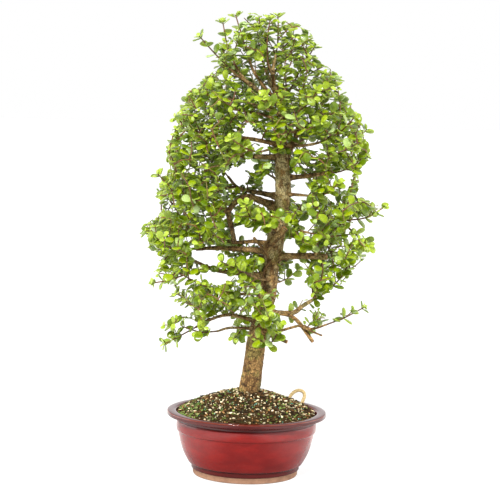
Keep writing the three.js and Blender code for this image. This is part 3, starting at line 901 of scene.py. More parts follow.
    def fill_gaps(self, draws: Draws) -> None:
        """Grows twigs into every free place of the crown, each from the nearest wood or twig."""
        rule = self.rule
        places, ways = self.skeleton()
        targets = []
        for z in np.arange(205, 742, rule.grid[2]):
            for x in np.arange(-190, 220, rule.grid[0]):
                for y in np.arange(-112, 118, rule.grid[1]):
                    target = point(
                        x + draws.between(-0.5, 0.5) * rule.grid[0],
                        y + draws.between(-0.5, 0.5) * rule.grid[1],
                        z + draws.between(-0.5, 0.5) * rule.grid[2],
                    )
                    targets.append((draws.next(), target))
        targets.sort(key=lambda row: row[0])
        for _, target in targets:
            if not in_crown(target) or not self.room.is_clear(target, rule.free, -1, 1):
                continue
            known = np.array(places)
            offsets = target - known
            reach = np.linalg.norm(offsets, axis=1)
            rise = offsets[:, 2] / np.maximum(reach, 1)
            cost = reach * (1.25 - 0.35 * rise)
            if draws.next() < float(np.interp(target[2], (300, 400, 480), (0.45, 0.25, 0))):
                continue
            furthest = float(np.interp(target[2], (300, 380, 470, 560), (26, 34, 56, rule.furthest)))
            cost[(reach < rule.nearest) | (reach > furthest)] = math.inf
            best = int(np.argmin(cost))
            if not math.isfinite(float(cost[best])):
                continue
            shoot = self.reach_out(places[best], ways[best], target, draws)
            if shoot is not None:
                line = LimbLine(shoot.points)
                for along in (0.35, 0.6, 0.85):
                    places.append(line.point(along))
                    ways.append(line.tangent(along))

    def reach_out(self, start: Point, way: Point, target: Point, draws: Draws) -> Optional[Shoot]:
        """Grows a leafy twig from a place on the wood to a free place.

        Args:
            start: Where it starts.
            way: The direction of the wood there.
            target: Where it ends.
            draws: The draws to use.

        Returns:
            The shoot, or None where it would cross something.
        """
        rule = self.rule
        owner = self.owners
        self.owners += 1
        offset = target - start
        length = float(np.linalg.norm(offset))
        first = unit(offset / length * 0.8 + way * 0.35 + UP * 0.08)
        line = Twig(start, first, offset - first * length, length)
        if not all(in_crown(line.point(share)) for share in REACH_PROBES):
            return None
        if not all(self.room.is_clear(line.point(share), 0.8, owner, 0, 0.55) for share in (0.5, 0.75, 1)):
            return None
        pairs = max(2, min(7, round(length * 0.72 / rule.internode)))
        start_share = max(0.2, 1 - pairs * rule.internode / length)
        radii = tapered(0.75 + length / 55, 0.7, len(line.points))
        shoot = Shoot(line.points, radii, youth=draws.between(0, 0.9))
        turn_start, tip_youth = TAU * draws.next(), draws.between(0.1, 1.0)
        for pair in range(pairs):
            share = start_share + (0.995 - start_share) * pair / (pairs - 1)
            size = rule.leaf * (0.86 + 0.36 * draws.next() - 0.52 * share**5)
            angle = turn_start + math.pi / 2 * pair + 0.6 * (draws.next() - 0.5)
            for turn in (0, math.pi):
                self.grow_leaf(
                    shoot, line, share, angle + turn, size, owner, rule.own, rule.other,
                    bounded=True, youth=tip_youth * share**5, tone=draws.next(),
                )
        if len(shoot.leaves) < max(3, pairs * REACH_LEAFY):
            return None
        self.room.take_along(line.points[1:], shoot.radii[1:], owner)
        self.zones[Zone.at(target)].append(shoot)
        return shoot


class LimbLine:
    """A limb's line, read by the share of its length."""

    def __init__(self, points: list[Point]) -> None:
        """Measures the line."""
        self.points = points
        steps = [float(np.linalg.norm(b - a)) for a, b in zip(points, points[1:])]
        self.at = np.concatenate([[0.0], np.cumsum(steps)])
        self.length = float(self.at[-1])

    def index(self, along: float) -> tuple[int, float]:
        """The stretch and the share of it at a share of the length."""
        place = along * self.length
        i = min(int(np.searchsorted(self.at, place, side="right")) - 1, len(self.points) - 2)
        return i, (place - self.at[i]) / (self.at[i + 1] - self.at[i])

    def point(self, along: float) -> Point:
        """The point at a share of the length."""
        i, share = self.index(along)
        return self.points[i] * (1 - share) + self.points[i + 1] * share

    def tangent(self, along: float) -> Point:
        """The direction at a share of the length."""
        i, _ = self.index(along)
        return unit(self.points[i + 1] - self.points[i])


# Shapes
Relief = Callable[[float, float, float], float]


def resampled(places: Sequence[Point], pitch: float) -> list[Point]:
    """Evenly spaced points on the smooth curve through places of any number of values.

    Args:
        places: The places, each x, y, z and any further values, such as a radius.
        pitch: About how far apart the points are.

    Returns:
        The points, with the further values carried along.
    """
    fine = [curve_point(places, i / (24 * (len(places) - 1))) for i in range(24 * (len(places) - 1) + 1)]
    steps = [float(np.linalg.norm((b - a)[:3])) for a, b in zip(fine, fine[1:])]
    at = np.concatenate([[0.0], np.cumsum(steps)])
    count = max(2, round(float(at[-1]) / pitch) + 1)
    wanted = np.linspace(0, at[-1], count)
    stack = np.array(fine)
    return list(np.stack([np.interp(wanted, at, stack[:, i]) for i in range(stack.shape[1])], axis=1))


def turning_frames(points: Sequence[Point]) -> list[tuple[Point, Point]]:
    """Two directions square to a line at each of its points, turning as little as they can."""
    frames = []
    normal = None
    for i in range(len(points)):
        tangent = unit(points[min(i + 1, len(points) - 1)][:3] - points[max(i - 1, 0)][:3])
        normal = crosswise(tangent) if normal is None else normal
        normal = unit(normal - tangent * normal.dot(tangent))
        frames.append((normal, np.cross(tangent, normal)))
    return frames


def bent_tube(
    points: Sequence[Point], radii: Sequence[float], sides: int, relief: Optional[Relief] = None,
    shade: tuple[float, float, float, float] = (0.5, 0, 0.5, 0), cut: bool = False,
) -> bmesh.types.BMesh:
    """A closed tube bent along a line.

    Args:
        points: The line.
        radii: The radius at each point.
        sides: How many sides it has.
        relief: What to add to the radius, from the distance along, the angle and the radius.
        shade: What its shade layer holds: age, paleness, its own tone and spare.
        cut: Whether its far end is a cut face, which gets the second finish and a bark rim.

    Returns:
        The tube. Its grain layer holds each vertex's place on the tube as if it were straight.
    """
    steps = len(points) - 1
    tube = bmesh.new()
    grain = tube.verts.layers.float_vector.new("grain")
    tint = tube.verts.layers.float_color.new("shade")
    bmesh.ops.create_cone(tube, cap_ends=True, segments=sides, radius1=1, radius2=1, depth=1)
    if cut:
        cap = [face for face in tube.faces if face.calc_center_median().z > 0.4]
        bmesh.ops.inset_region(tube, faces=cap, thickness=0.14, depth=0)
        for face in cap:
            face.material_index = 1
    if steps > 1:
        long_edges = [edge for edge in tube.edges if abs(edge.verts[0].co.z - edge.verts[1].co.z) > 0.5]
        bmesh.ops.subdivide_edges(tube, edges=long_edges, cuts=steps - 1, use_grid_fill=True)
    frames = turning_frames(points)
    lengths = [float(np.linalg.norm((b - a)[:3])) for a, b in zip(points, points[1:])]
    at = np.concatenate([[0.0], np.cumsum(lengths)])
    for vert in tube.verts:
        i = round((vert.co.z + 0.5) * steps)
        angle = math.atan2(vert.co.y, vert.co.x)
        radius = radii[i]
        if relief is not None:
            radius += relief(float(at[i]), angle, radii[i])
        radius *= math.hypot(vert.co.x, vert.co.y)
        normal, binormal = frames[i]
        x, y = math.cos(angle) * radius, math.sin(angle) * radius
        vert[grain] = Vector((x, y, at[i])) * MM
        vert[tint] = shade
        vert.co = points[i][:3] + normal * x + binormal * y
    return tube


def turned(section: Sequence[tuple[float, float]], steps: int) -> bmesh.types.BMesh:
    """An oval body spun from a half section that starts and ends on the axis."""
    body = bmesh.new()
    verts = [body.verts.new((radius, 0, z)) for radius, z in section]
    edges = [body.edges.new(pair) for pair in zip(verts, verts[1:])]
    bmesh.ops.spin(
        body, geom=[*verts, *edges], cent=(0, 0, 0), axis=(0, 0, 1), dvec=(0, 0, 0), angle=TAU,
        steps=steps, use_merge=True,
    )
    bmesh.ops.remove_doubles(body, verts=body.verts, dist=0.001)
    bmesh.ops.scale(body, vec=(1, OVAL, 1), verts=body.verts)
    bmesh.ops.recalc_face_normals(body, faces=body.faces)
    return body


def rounded_section(points: Sequence[tuple[float, float]], cuts: int) -> list[tuple[float, float]]:
    """A section's points with a smooth curve drawn through them."""
    places = [point(radius, z, 0) for radius, z in points]
    count = cuts * (len(places) - 1)
    curve = [curve_point(places, i / count) for i in range(count + 1)]
    return [(float(place[0]), float(place[1])) for place in curve]


class Piece:
    """Gathers closed shapes, in millimetres, and makes one object of them."""

    def __init__(self, name: str) -> None:
        """Starts an empty piece."""
        self.name = name
        self.pile = bmesh.new()
        self.pile.verts.layers.float_vector.new("grain")
        self.pile.verts.layers.float_color.new("shade")

    def add(self, shape: bmesh.types.BMesh) -> None:
        """Adds a shape and frees it."""
        mesh = bpy.data.meshes.new("shape")
        shape.to_mesh(mesh)
        shape.free()
        self.pile.from_mesh(mesh)
        bpy.data.meshes.remove(mesh)

    def stamp(self, template: "Template", matrix: Matrix, blue: float, alpha: float) -> None:
        """Adds a copy of a template.

        Args:
            template: The shape to copy.
            matrix: Where the copy goes.
            blue: What the third channel of its layer holds.
            alpha: What the fourth one holds.
        """
        mesh = template.copy(matrix, blue, alpha)
        self.pile.from_mesh(mesh)
        bpy.data.meshes.remove(mesh)

    def make(
        self, finishes: Sequence[bpy.types.Material], slot: str, replaced: Sequence[str] = (),
        smooth: bool = True,
    ) -> bpy.types.Object:
        """Makes the object, dresses it and hands it to the frame.

        Args:
            finishes: Its materials, in the order of its face indices.
            slot: Not used.
            replaced: The nodes that it stands for.
            smooth: Whether its faces are shaded smooth.

        Returns:
            The object.
        """
        bmesh.ops.scale(self.pile, vec=(MM, MM, MM), verts=self.pile.verts)
        for face in self.pile.faces:
            face.smooth = smooth
        mesh = bpy.data.meshes.new(self.name)
        self.pile.to_mesh(mesh)
        self.pile.free()
        piece = bpy.data.objects.new(self.name, mesh)
        bpy.context.scene.collection.objects.link(piece)
        for material in finishes:
            mesh.materials.append(material)
        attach(piece, ROOT_BODY)
        if replaced:
            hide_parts(*replaced)
        LOG.info("%s: %d faces", self.name, len(mesh.polygons))
        return piece


class Template:
    """A small shape that is stamped many times, with a colour layer of its own."""

    def __init__(self, name: str, shape: bmesh.types.BMesh) -> None:
        """Keeps a shape as a mesh.

        Args:
            name: The mesh's name.
            shape: The shape, which has a shade layer.
        """
        self.mesh = bpy.data.meshes.new(name)
        shape.to_mesh(self.mesh)
        shape.free()
        self.colours = np.zeros(len(self.mesh.vertices) * 4, np.float32)
        self.mesh.attributes["shade"].data.foreach_get("color", self.colours)
        self.colours = self.colours.reshape(-1, 4)

    def copy(self, matrix: Matrix, blue: float, alpha: float) -> bpy.types.Mesh:
        """A moved copy with the last two channels of its layer filled in."""
        mesh = self.mesh.copy()
        mesh.transform(matrix)
        colours = self.colours.copy()
        colours[:, 2] = blue
        colours[:, 3] = alpha
        mesh.attributes["shade"].data.foreach_set("color", colours.ravel())
        return mesh


def placing(origin: Point, x: Point, y: Point, z: Point, size: float) -> Matrix:
    """The matrix that puts a shape at an origin, along three directions, at a size."""
    columns = [Vector(axis) * size for axis in (x, y, z)]
    rows = [[columns[j][i] for j in range(3)] + [float(origin[i])] for i in range(3)]
    return Matrix([*rows, [0, 0, 0, 1]])


# Finishes
def shade_of(code: str) -> Colour:
    """The linear colour of a six-digit display colour."""
    channels = [int(code[i : i + 2], 16) / 255 for i in (0, 2, 4)]
    linear = [c / 12.92 if c <= 0.04045 else ((c + 0.055) / 1.055) ** 2.4 for c in channels]
    return (*linear, 1.0)


class Graph:
    """A short way to write the nodes of one material."""

    def __init__(self, name: str) -> None:
        """Starts a material with its main shader."""
        self.material = bpy.data.materials.new(name)
        self.material.use_nodes = True
        self.tree = self.material.node_tree
        self.shader = self.tree.nodes["Principled BSDF"]

    def node(self, kind: str, **settings: object) -> bpy.types.Node:
        """Adds a node and sets its properties."""
        made = self.tree.nodes.new(kind)
        for key, value in settings.items():
            setattr(made, key, value)
        return made

    def plug(self, value: object, socket: bpy.types.NodeSocket) -> None:
        """Links a socket to an input, or sets the input to a number or colour."""
        if isinstance(value, bpy.types.NodeSocket):
            self.tree.links.new(value, socket)
        else:
            socket.default_value = value

    def place(self, stretch: tuple[float, float, float] = (1, 1, 1)) -> bpy.types.NodeSocket:
        """Object coordinates, stretched."""
        coords = self.node("ShaderNodeTexCoord")
        mapping = self.node("ShaderNodeMapping")
        self.plug(coords.outputs["Object"], mapping.inputs["Vector"])
        mapping.inputs["Scale"].default_value = stretch
        return mapping.outputs["Vector"]

    def split(self, place: bpy.types.NodeSocket) -> tuple[bpy.types.NodeSocket, ...]:
        """The three values of a place."""
        made = self.node("ShaderNodeSeparateXYZ")
        self.plug(place, made.inputs[0])
        return tuple(made.outputs)

    def layer(self, name: str, stretch: Optional[tuple[float, float, float]] = None) -> bpy.types.NodeSocket:
        """A layer of the mesh, as a vector that may be stretched."""
        read = self.node("ShaderNodeAttribute", attribute_name=name)
        if stretch is None:
            return read.outputs["Color"]
        mapping = self.node("ShaderNodeMapping")
        self.plug(read.outputs["Vector"], mapping.inputs["Vector"])
        mapping.inputs["Scale"].default_value = stretch
        return mapping.outputs["Vector"]

    def channels(self, name: str) -> tuple[bpy.types.NodeSocket, ...]:
        """The four channels of a colour layer."""
        read = self.node("ShaderNodeAttribute", attribute_name=name)
        split = self.node("ShaderNodeSeparateColor")
        self.plug(read.outputs["Color"], split.inputs[0])
        return (*split.outputs[:3], read.outputs["Alpha"])

    def noise(
        self, vector: bpy.types.NodeSocket, scale: float, detail: float = 3, rough: float = 0.5
    ) -> bpy.types.NodeSocket:
        """Noise between 0 and 1."""
        made = self.node("ShaderNodeTexNoise")
        self.plug(vector, made.inputs["Vector"])
        made.inputs["Scale"].default_value = scale
        made.inputs["Detail"].default_value = detail
        made.inputs["Roughness"].default_value = rough
        return made.outputs["Fac"]

    def cells(self, vector: bpy.types.NodeSocket, scale: float, feature: str = "F1") -> bpy.types.NodeSocket:
        """The distance in a pattern of cells."""
        made = self.node("ShaderNodeTexVoronoi", feature=feature)
        self.plug(vector, made.inputs["Vector"])
        made.inputs["Scale"].default_value = scale
        return made.outputs["Distance"]

    def ramp(self, value: bpy.types.NodeSocket, low: float, high: float) -> bpy.types.NodeSocket:
        """A value's smooth step from 0 at one level to 1 at another."""
        made = self.node("ShaderNodeMapRange", interpolation_type="SMOOTHSTEP")
        self.plug(value, made.inputs["Value"])
        made.inputs["From Min"].default_value = low
        made.inputs["From Max"].default_value = high
        return made.outputs["Result"]

    def mix(self, share: object, first: object, second: object, blend: str = "MIX") -> bpy.types.NodeSocket:
        """A mix of two colours."""
        made = self.node("ShaderNodeMix", data_type="RGBA", blend_type=blend)
        self.plug(share, made.inputs[0])
        self.plug(first, made.inputs[6])
        self.plug(second, made.inputs[7])
        return made.outputs[2]

    def math(self, operation: str, first: object, second: object = 0.0) -> bpy.types.NodeSocket:
        """A sum on one or two values, kept between 0 and 1 where that is asked for."""
        made = self.node("ShaderNodeMath", operation=operation)
        self.plug(first, made.inputs[0])
        self.plug(second, made.inputs[1])
        return made.outputs[0]

    def span(self, value: bpy.types.NodeSocket, low: float, high: float) -> bpy.types.NodeSocket:
        """A value between 0 and 1 brought between two others."""
        made = self.node("ShaderNodeMapRange")
        self.plug(value, made.inputs["Value"])
        made.inputs["To Min"].default_value = low
        made.inputs["To Max"].default_value = high
        return made.outputs["Result"]

    def bump(self, height: bpy.types.NodeSocket, strength: float, distance: float) -> None:
        """Adds relief to the shading."""
        made = self.node("ShaderNodeBump")
        made.inputs["Strength"].default_value = strength
        made.inputs["Distance"].default_value = distance
        self.plug(height, made.inputs["Height"])
        self.plug(made.outputs["Normal"], self.shader.inputs["Normal"])

    def surface(self, **values: object) -> None:
        """Fills the main shader's inputs, by names with words joined by underscores."""
        for key, value in values.items():
            self.plug(value, self.shader.inputs[key.replace("_", " ")])


@dataclass(frozen=True)
class LeafFinish:
    """Fleshy, glossy leaves, from deep green to the yellow-green of new growth, with painted highlights on
    some leaves and partly along their edges.
    """

    deep: str = "546c01"
    full: str = "8ca006"
    fresh: str = "a0b53c"
    # pale: the paler undersides, and a painted highlight on some leaves
    pale: str = "b4cc9a"
    # rim: the edge colour, partly the leaf's own margin and partly a painted highlight
    rim: str = "9a8434"
    gloss: float = 0.27

    def build(self) -> bpy.types.Material:
        """The material."""
        graph = Graph("leaf_flesh")
        along, side, tone, youth = graph.channels("shade")
        place = graph.place()
        green = graph.mix(graph.ramp(tone, 0.0, 1.0), shade_of(self.deep), shade_of(self.full))
        # Painted highlight: leaves of the highest tone get a whitish mix that stands for highlights on them.
        green = graph.mix(graph.span(graph.ramp(tone, 0.9, 0.98), 0, 0.55), green, shade_of(self.pale))
        green = graph.mix(graph.ramp(youth, 0.05, 0.95), green, shade_of(self.fresh))
        mottle = graph.span(graph.noise(place, 260, 2), 0.78, 1.22)
        green = graph.mix(1.0, green, mottle, "MULTIPLY")
        vein = graph.span(graph.ramp(along, 0.55, 0.0), 0, 0.35)
        green = graph.mix(vein, green, shade_of(self.fresh))
        under = graph.span(graph.ramp(side, 0.45, 0.2), 0, 0.14)
        green = graph.mix(under, green, shade_of(self.pale))
        # Yellow-brown along the leaf's edge: partly the leaf's own margin colour, partly a painted highlight.
        from_middle = graph.math("ABSOLUTE", graph.math("SUBTRACT", side, 0.5))
        rim = graph.math("MULTIPLY", graph.ramp(from_middle, 0.1, 0.0), 0.3)
        green = graph.mix(rim, green, shade_of(self.rim))
        rough = graph.span(graph.noise(place, 420, 2), self.gloss - 0.08, self.gloss + 0.12)
        graph.bump(graph.noise(place, 1400, 2), 0.12, 0.0004)
        graph.surface(
            Base_Color=green, Roughness=rough, Subsurface_Weight=0.12, Subsurface_Scale=0.002,
            Specular_IOR_Level=0.4,
        )
        graph.shader.inputs["Subsurface Radius"].default_value = (0.6, 1.0, 0.2)
        return graph.material


@dataclass(frozen=True)
class TwigFinish:
    """Young stems: green at the tips, red-brown lower down."""

    brown: str = "4f3218"
    warm: str = "7c5230"
    green: str = "87993c"

    def build(self) -> bpy.types.Material:
        """The material."""
        graph = Graph("young_twig")
        grain = graph.layer("grain", (1, 1, 1))
        _, _, tone, youth = graph.channels("shade")
        brown = graph.mix(tone, shade_of(self.brown), shade_of(self.warm))
        stem = graph.mix(graph.ramp(youth, 0.55, 1.1), brown, shade_of(self.green))
        streak = graph.span(graph.noise(grain, 500, 3), 0.7, 1.25)
        stem = graph.mix(1.0, stem, streak, "MULTIPLY")
        graph.bump(graph.noise(grain, 900, 2), 0.3, 0.0005)
        graph.surface(Base_Color=stem, Roughness=graph.span(graph.noise(grain, 300), 0.42, 0.62))
        return graph.material


@dataclass(frozen=True)
class BarkFinish:
    """Dry bark: tan over brown, darker in its cracks, partly with painted shade there, paler towards the top.
    """

    tan: str = "ab8650"
    brown: str = "6a4c2a"
    dark: str = "2c1c0a"
    pale: str = "d2c08a"
    young: str = "7c5531"
    olive: str = "8d8544"

    def build(self) -> bpy.types.Material:
        """The material."""
        graph = Graph("bark")
        grain = graph.layer("grain", (1, 1, 0.5))
        flat = graph.layer("grain", (1, 1, 1.8))
        even = graph.layer("grain", (1, 1, 1))
        age, pale, tone, _ = graph.channels("shade")
        patches = graph.ramp(graph.noise(grain, 110, 5, 0.65), 0.4, 0.6)
        bark = graph.mix(patches, shade_of(self.brown), shade_of(self.tan))
        olive = graph.math("MULTIPLY", graph.ramp(graph.noise(even, 45, 3), 0.5, 0.62), 0.6)
        bark = graph.mix(graph.math("MULTIPLY", olive, age), bark, shade_of(self.olive))
        patch = graph.ramp(graph.noise(grain, 240), 0.4, 0.6)
        young = graph.mix(patch, shade_of(self.young), shade_of(self.brown))
        bark = graph.mix(graph.ramp(age, 0.55, 0.1), bark, young)
        worn = graph.ramp(graph.noise(grain, 130, 4, 0.6), 0.42, 0.56)
        bark = graph.mix(graph.math("MULTIPLY", pale, worn), bark, shade_of(self.pale))
        blotch = graph.ramp(graph.noise(flat, 95, 4, 0.75), 0.52, 0.62)
        bark = graph.mix(graph.math("MULTIPLY", blotch, 0.72), bark, shade_of(self.dark))
        # The cracks' dark mix: partly the darker bark inside them, partly painted shade in them.
        crack = graph.ramp(graph.cells(grain, 300, "DISTANCE_TO_EDGE"), 0.12, 0.0)
        bark = graph.mix(graph.math("MULTIPLY", crack, 0.55), bark, shade_of(self.dark))
        fine = graph.span(graph.ramp(graph.noise(even, 520, 4, 0.7), 0.32, 0.68), 0.6, 1.35)
        bark = graph.mix(1.0, bark, fine, "MULTIPLY")
        bark = graph.mix(1.0, bark, graph.span(tone, 0.8, 1.2), "MULTIPLY")
        height = graph.math("SUBTRACT", graph.noise(grain, 380, 5, 0.65), graph.math("MULTIPLY", crack, 0.6))
        graph.bump(height, 0.8, 0.002)
        graph.surface(
            Base_Color=bark, Roughness=graph.span(graph.noise(grain, 200), 0.72, 0.95),
            Specular_IOR_Level=0.3,
        )
        return graph.material


@dataclass(frozen=True)
class CutWoodFinish:
    """The face of an old cut: rings of orange-tan wood, checked and greying."""

    wood: str = "b98550"
    ring: str = "7c5027"

    def build(self) -> bpy.types.Material:
        """The material."""
        graph = Graph("cut_wood")
        grain = graph.layer("grain", (1, 1, 0))
        rings = graph.node("ShaderNodeTexWave", wave_type="RINGS", rings_direction="SPHERICAL")
        graph.plug(grain, rings.inputs["Vector"])
        rings.inputs["Scale"].default_value = 260
        rings.inputs["Distortion"].default_value = 2.5
        wood = graph.mix(graph.span(rings.outputs["Fac"], 0.1, 0.7), shade_of(self.wood), shade_of(self.ring))
        wood = graph.mix(1.0, wood, graph.span(graph.noise(grain, 500, 4), 0.65, 1.3), "MULTIPLY")
        graph.bump(rings.outputs["Fac"], 0.4, 0.0005)
        graph.surface(Base_Color=wood, Roughness=graph.span(graph.noise(grain, 300), 0.7, 0.9))
        return graph.material


@dataclass(frozen=True)
class GlazeFinish:
    """Deep red gloss glaze: darker in specks, on the lip and towards the bottom, with painted shade in the
    groove under the lip; thin and browner on the edges.
    """

    red: str = "6e0806"
    bright: str = "86110b"
    # dark red of the specks, the lip and the low band, and the painted shade under the lip
    dark_red: str = "2e0403"
    thin: str = "8e4a38"

    def build(self) -> bpy.types.Material:
        """The material."""
        graph = Graph("red_glaze")
        place = graph.place()
        runs = graph.place((0.8, 0.8, 1.8))
        run = graph.ramp(graph.noise(runs, 30, 5, 0.6), 0.3, 0.75)
        red = graph.mix(run, shade_of(self.red), shade_of(self.bright))
        specks = graph.ramp(graph.noise(place, 900, 2), 0.62, 0.74)
        red = graph.mix(graph.math("MULTIPLY", specks, 0.35), red, shade_of(self.dark_red))
        _, _, height = graph.split(place)
        # Painted shade: the groove under the lip is darkened as the lip's shadow would darken it. The band
        # low on the body is darker towards the bottom.
        under_lip_shade = graph.math("MULTIPLY", graph.ramp(height, 0.0865, 0.0895), graph.ramp(height, 0.097, 0.0925))
        low = graph.ramp(height, 0.0205, 0.0185)
        under_lip_shade_and_low_band = graph.math("MULTIPLY", graph.math("MAXIMUM", under_lip_shade, low), 0.7)
        red = graph.mix(under_lip_shade_and_low_band, red, shade_of(self.dark_red))
        red = graph.mix(graph.span(graph.ramp(height, 0.0962, 0.0985), 0, 0.8), red, shade_of(self.dark_red))
        edge = graph.math("MULTIPLY", graph.ramp(height, 0.1022, 0.1032), graph.ramp(height, 0.1042, 0.1036))
        edge = graph.math("MULTIPLY", edge, graph.span(graph.noise(place, 120, 3), 0.1, 0.8))
        red = graph.mix(edge, red, shade_of(self.thin))
        graph.bump(graph.noise(place, 160, 3), 0.10, 0.0015)
        rough = graph.span(graph.noise(place, 80, 3), 0.12, 0.24)
        rough = graph.math("MULTIPLY", rough, graph.span(graph.ramp(height, 0.1, 0.104), 1, 0.45))
        graph.surface(Base_Color=red, Roughness=rough, IOR=1.5)
        return graph.material


@dataclass(frozen=True)
class ClayFinish:
    """Bare fired clay at the foot and inside."""

    clay: str = "b98d70"
    dark: str = "9c7258"

    def build(self) -> bpy.types.Material:
        """The material."""
        graph = Graph("bare_clay")
        place = graph.place()
        cloud = graph.ramp(graph.noise(place, 70, 5, 0.6), 0.35, 0.7)
        clay = graph.mix(cloud, shade_of(self.clay), shade_of(self.dark))
        clay = graph.mix(1.0, clay, graph.span(graph.noise(place, 1500, 2), 0.8, 1.2), "MULTIPLY")
        graph.bump(graph.noise(place, 1200, 3), 0.35, 0.0006)
        graph.surface(Base_Color=clay, Roughness=graph.span(graph.noise(place, 300), 0.7, 0.9))
        return graph.material


@dataclass(frozen=True)
class GritFinish:
    """One kind of grain, with its own colours and grain-to-grain change."""

    name: str
    first: str
    second: str
    rough: float = 0.85
    speckle: float = 0.35

    def build(self) -> bpy.types.Material:
        """The material."""
        graph = Graph(self.name)
        _, _, tone, value = graph.channels("shade")
        place = graph.place()
        colour = graph.mix(tone, shade_of(self.first), shade_of(self.second))
        colour = graph.mix(1.0, colour, graph.span(value, 0.7, 1.25), "MULTIPLY")
        speckle = graph.span(graph.noise(place, 1300, 3), 1 - self.speckle, 1 + self.speckle)
        colour = graph.mix(1.0, colour, speckle, "MULTIPLY")
        graph.bump(graph.noise(place, 1500, 3), 0.4, 0.0008)
        graph.surface(
            Base_Color=colour, Roughness=graph.span(value, self.rough - 0.12, self.rough),
            Specular_IOR_Level=0.15,
        )
        return graph.material


@dataclass(frozen=True)
class GroundFinish:
    """The dark fine soil between the grains."""

    dark: str = "1c150a"
    light: str = "4a3d22"

    def build(self) -> bpy.types.Material:
        """The material."""
        graph = Graph("fine_soil")
        place = graph.place()
        soil = graph.mix(graph.noise(place, 420, 5, 0.7), shade_of(self.dark), shade_of(self.light))
        graph.bump(graph.noise(place, 700, 4, 0.7), 0.9, 0.002)
        graph.surface(
            Base_Color=soil, Roughness=graph.span(graph.noise(place, 200), 0.85, 1.0),
            Specular_IOR_Level=0.1,
        )
        return graph.material


@dataclass(frozen=True)
class RopeFinish:
    """Plant-fibre cord, straw-coloured with darker strands."""

    straw: str = "dfca98"
    dark: str = "ab8c58"

    def build(self) -> bpy.types.Material:
        """The material."""
        graph = Graph("fibre_cord")
        grain = graph.layer("grain", (1, 1, 0.12))
        fibre = graph.noise(grain, 2600, 3)
        cord = graph.mix(graph.ramp(fibre, 0.35, 0.65), shade_of(self.dark), shade_of(self.straw))
        graph.bump(fibre, 0.7, 0.0006)
        graph.surface(Base_Color=cord, Roughness=graph.span(graph.noise(grain, 300), 0.75, 0.95))
        return graph.material


@dataclass(frozen=True)
class MossFinish:
    """Short cushion moss."""

    dark: str = "3c5418"
    light: str = "7e9440"

    def build(self) -> bpy.types.Material:
        """The material."""
        graph = Graph("moss")
        _, _, tone, _ = graph.channels("shade")
        place = graph.place()
        moss = graph.mix(tone, shade_of(self.dark), shade_of(self.light))
        moss = graph.mix(1.0, moss, graph.span(graph.noise(place, 900), 0.7, 1.3), "MULTIPLY")
        graph.bump(graph.noise(place, 2000), 0.3, 0.0004)
        graph.surface(Base_Color=moss, Roughness=graph.span(graph.noise(place, 300), 0.75, 0.95))
        return graph.material


@dataclass(frozen=True)
class MeshPlasticFinish:
    """The drain screens' black plastic, dusted with soil."""

    plastic: str = "1c1c1a"
    dust: str = "4a4030"

    def build(self) -> bpy.types.Material:
        """The material."""
        graph = Graph("screen_plastic")
        place = graph.place()
        dusty = graph.ramp(graph.noise(place, 160, 4), 0.45, 0.75)
        colour = graph.mix(dusty, shade_of(self.plastic), shade_of(self.dust))
        graph.bump(graph.noise(place, 900), 0.2, 0.0004)
        graph.surface(Base_Color=colour, Roughness=graph.span(graph.noise(place, 120), 0.45, 0.75))
        return graph.material


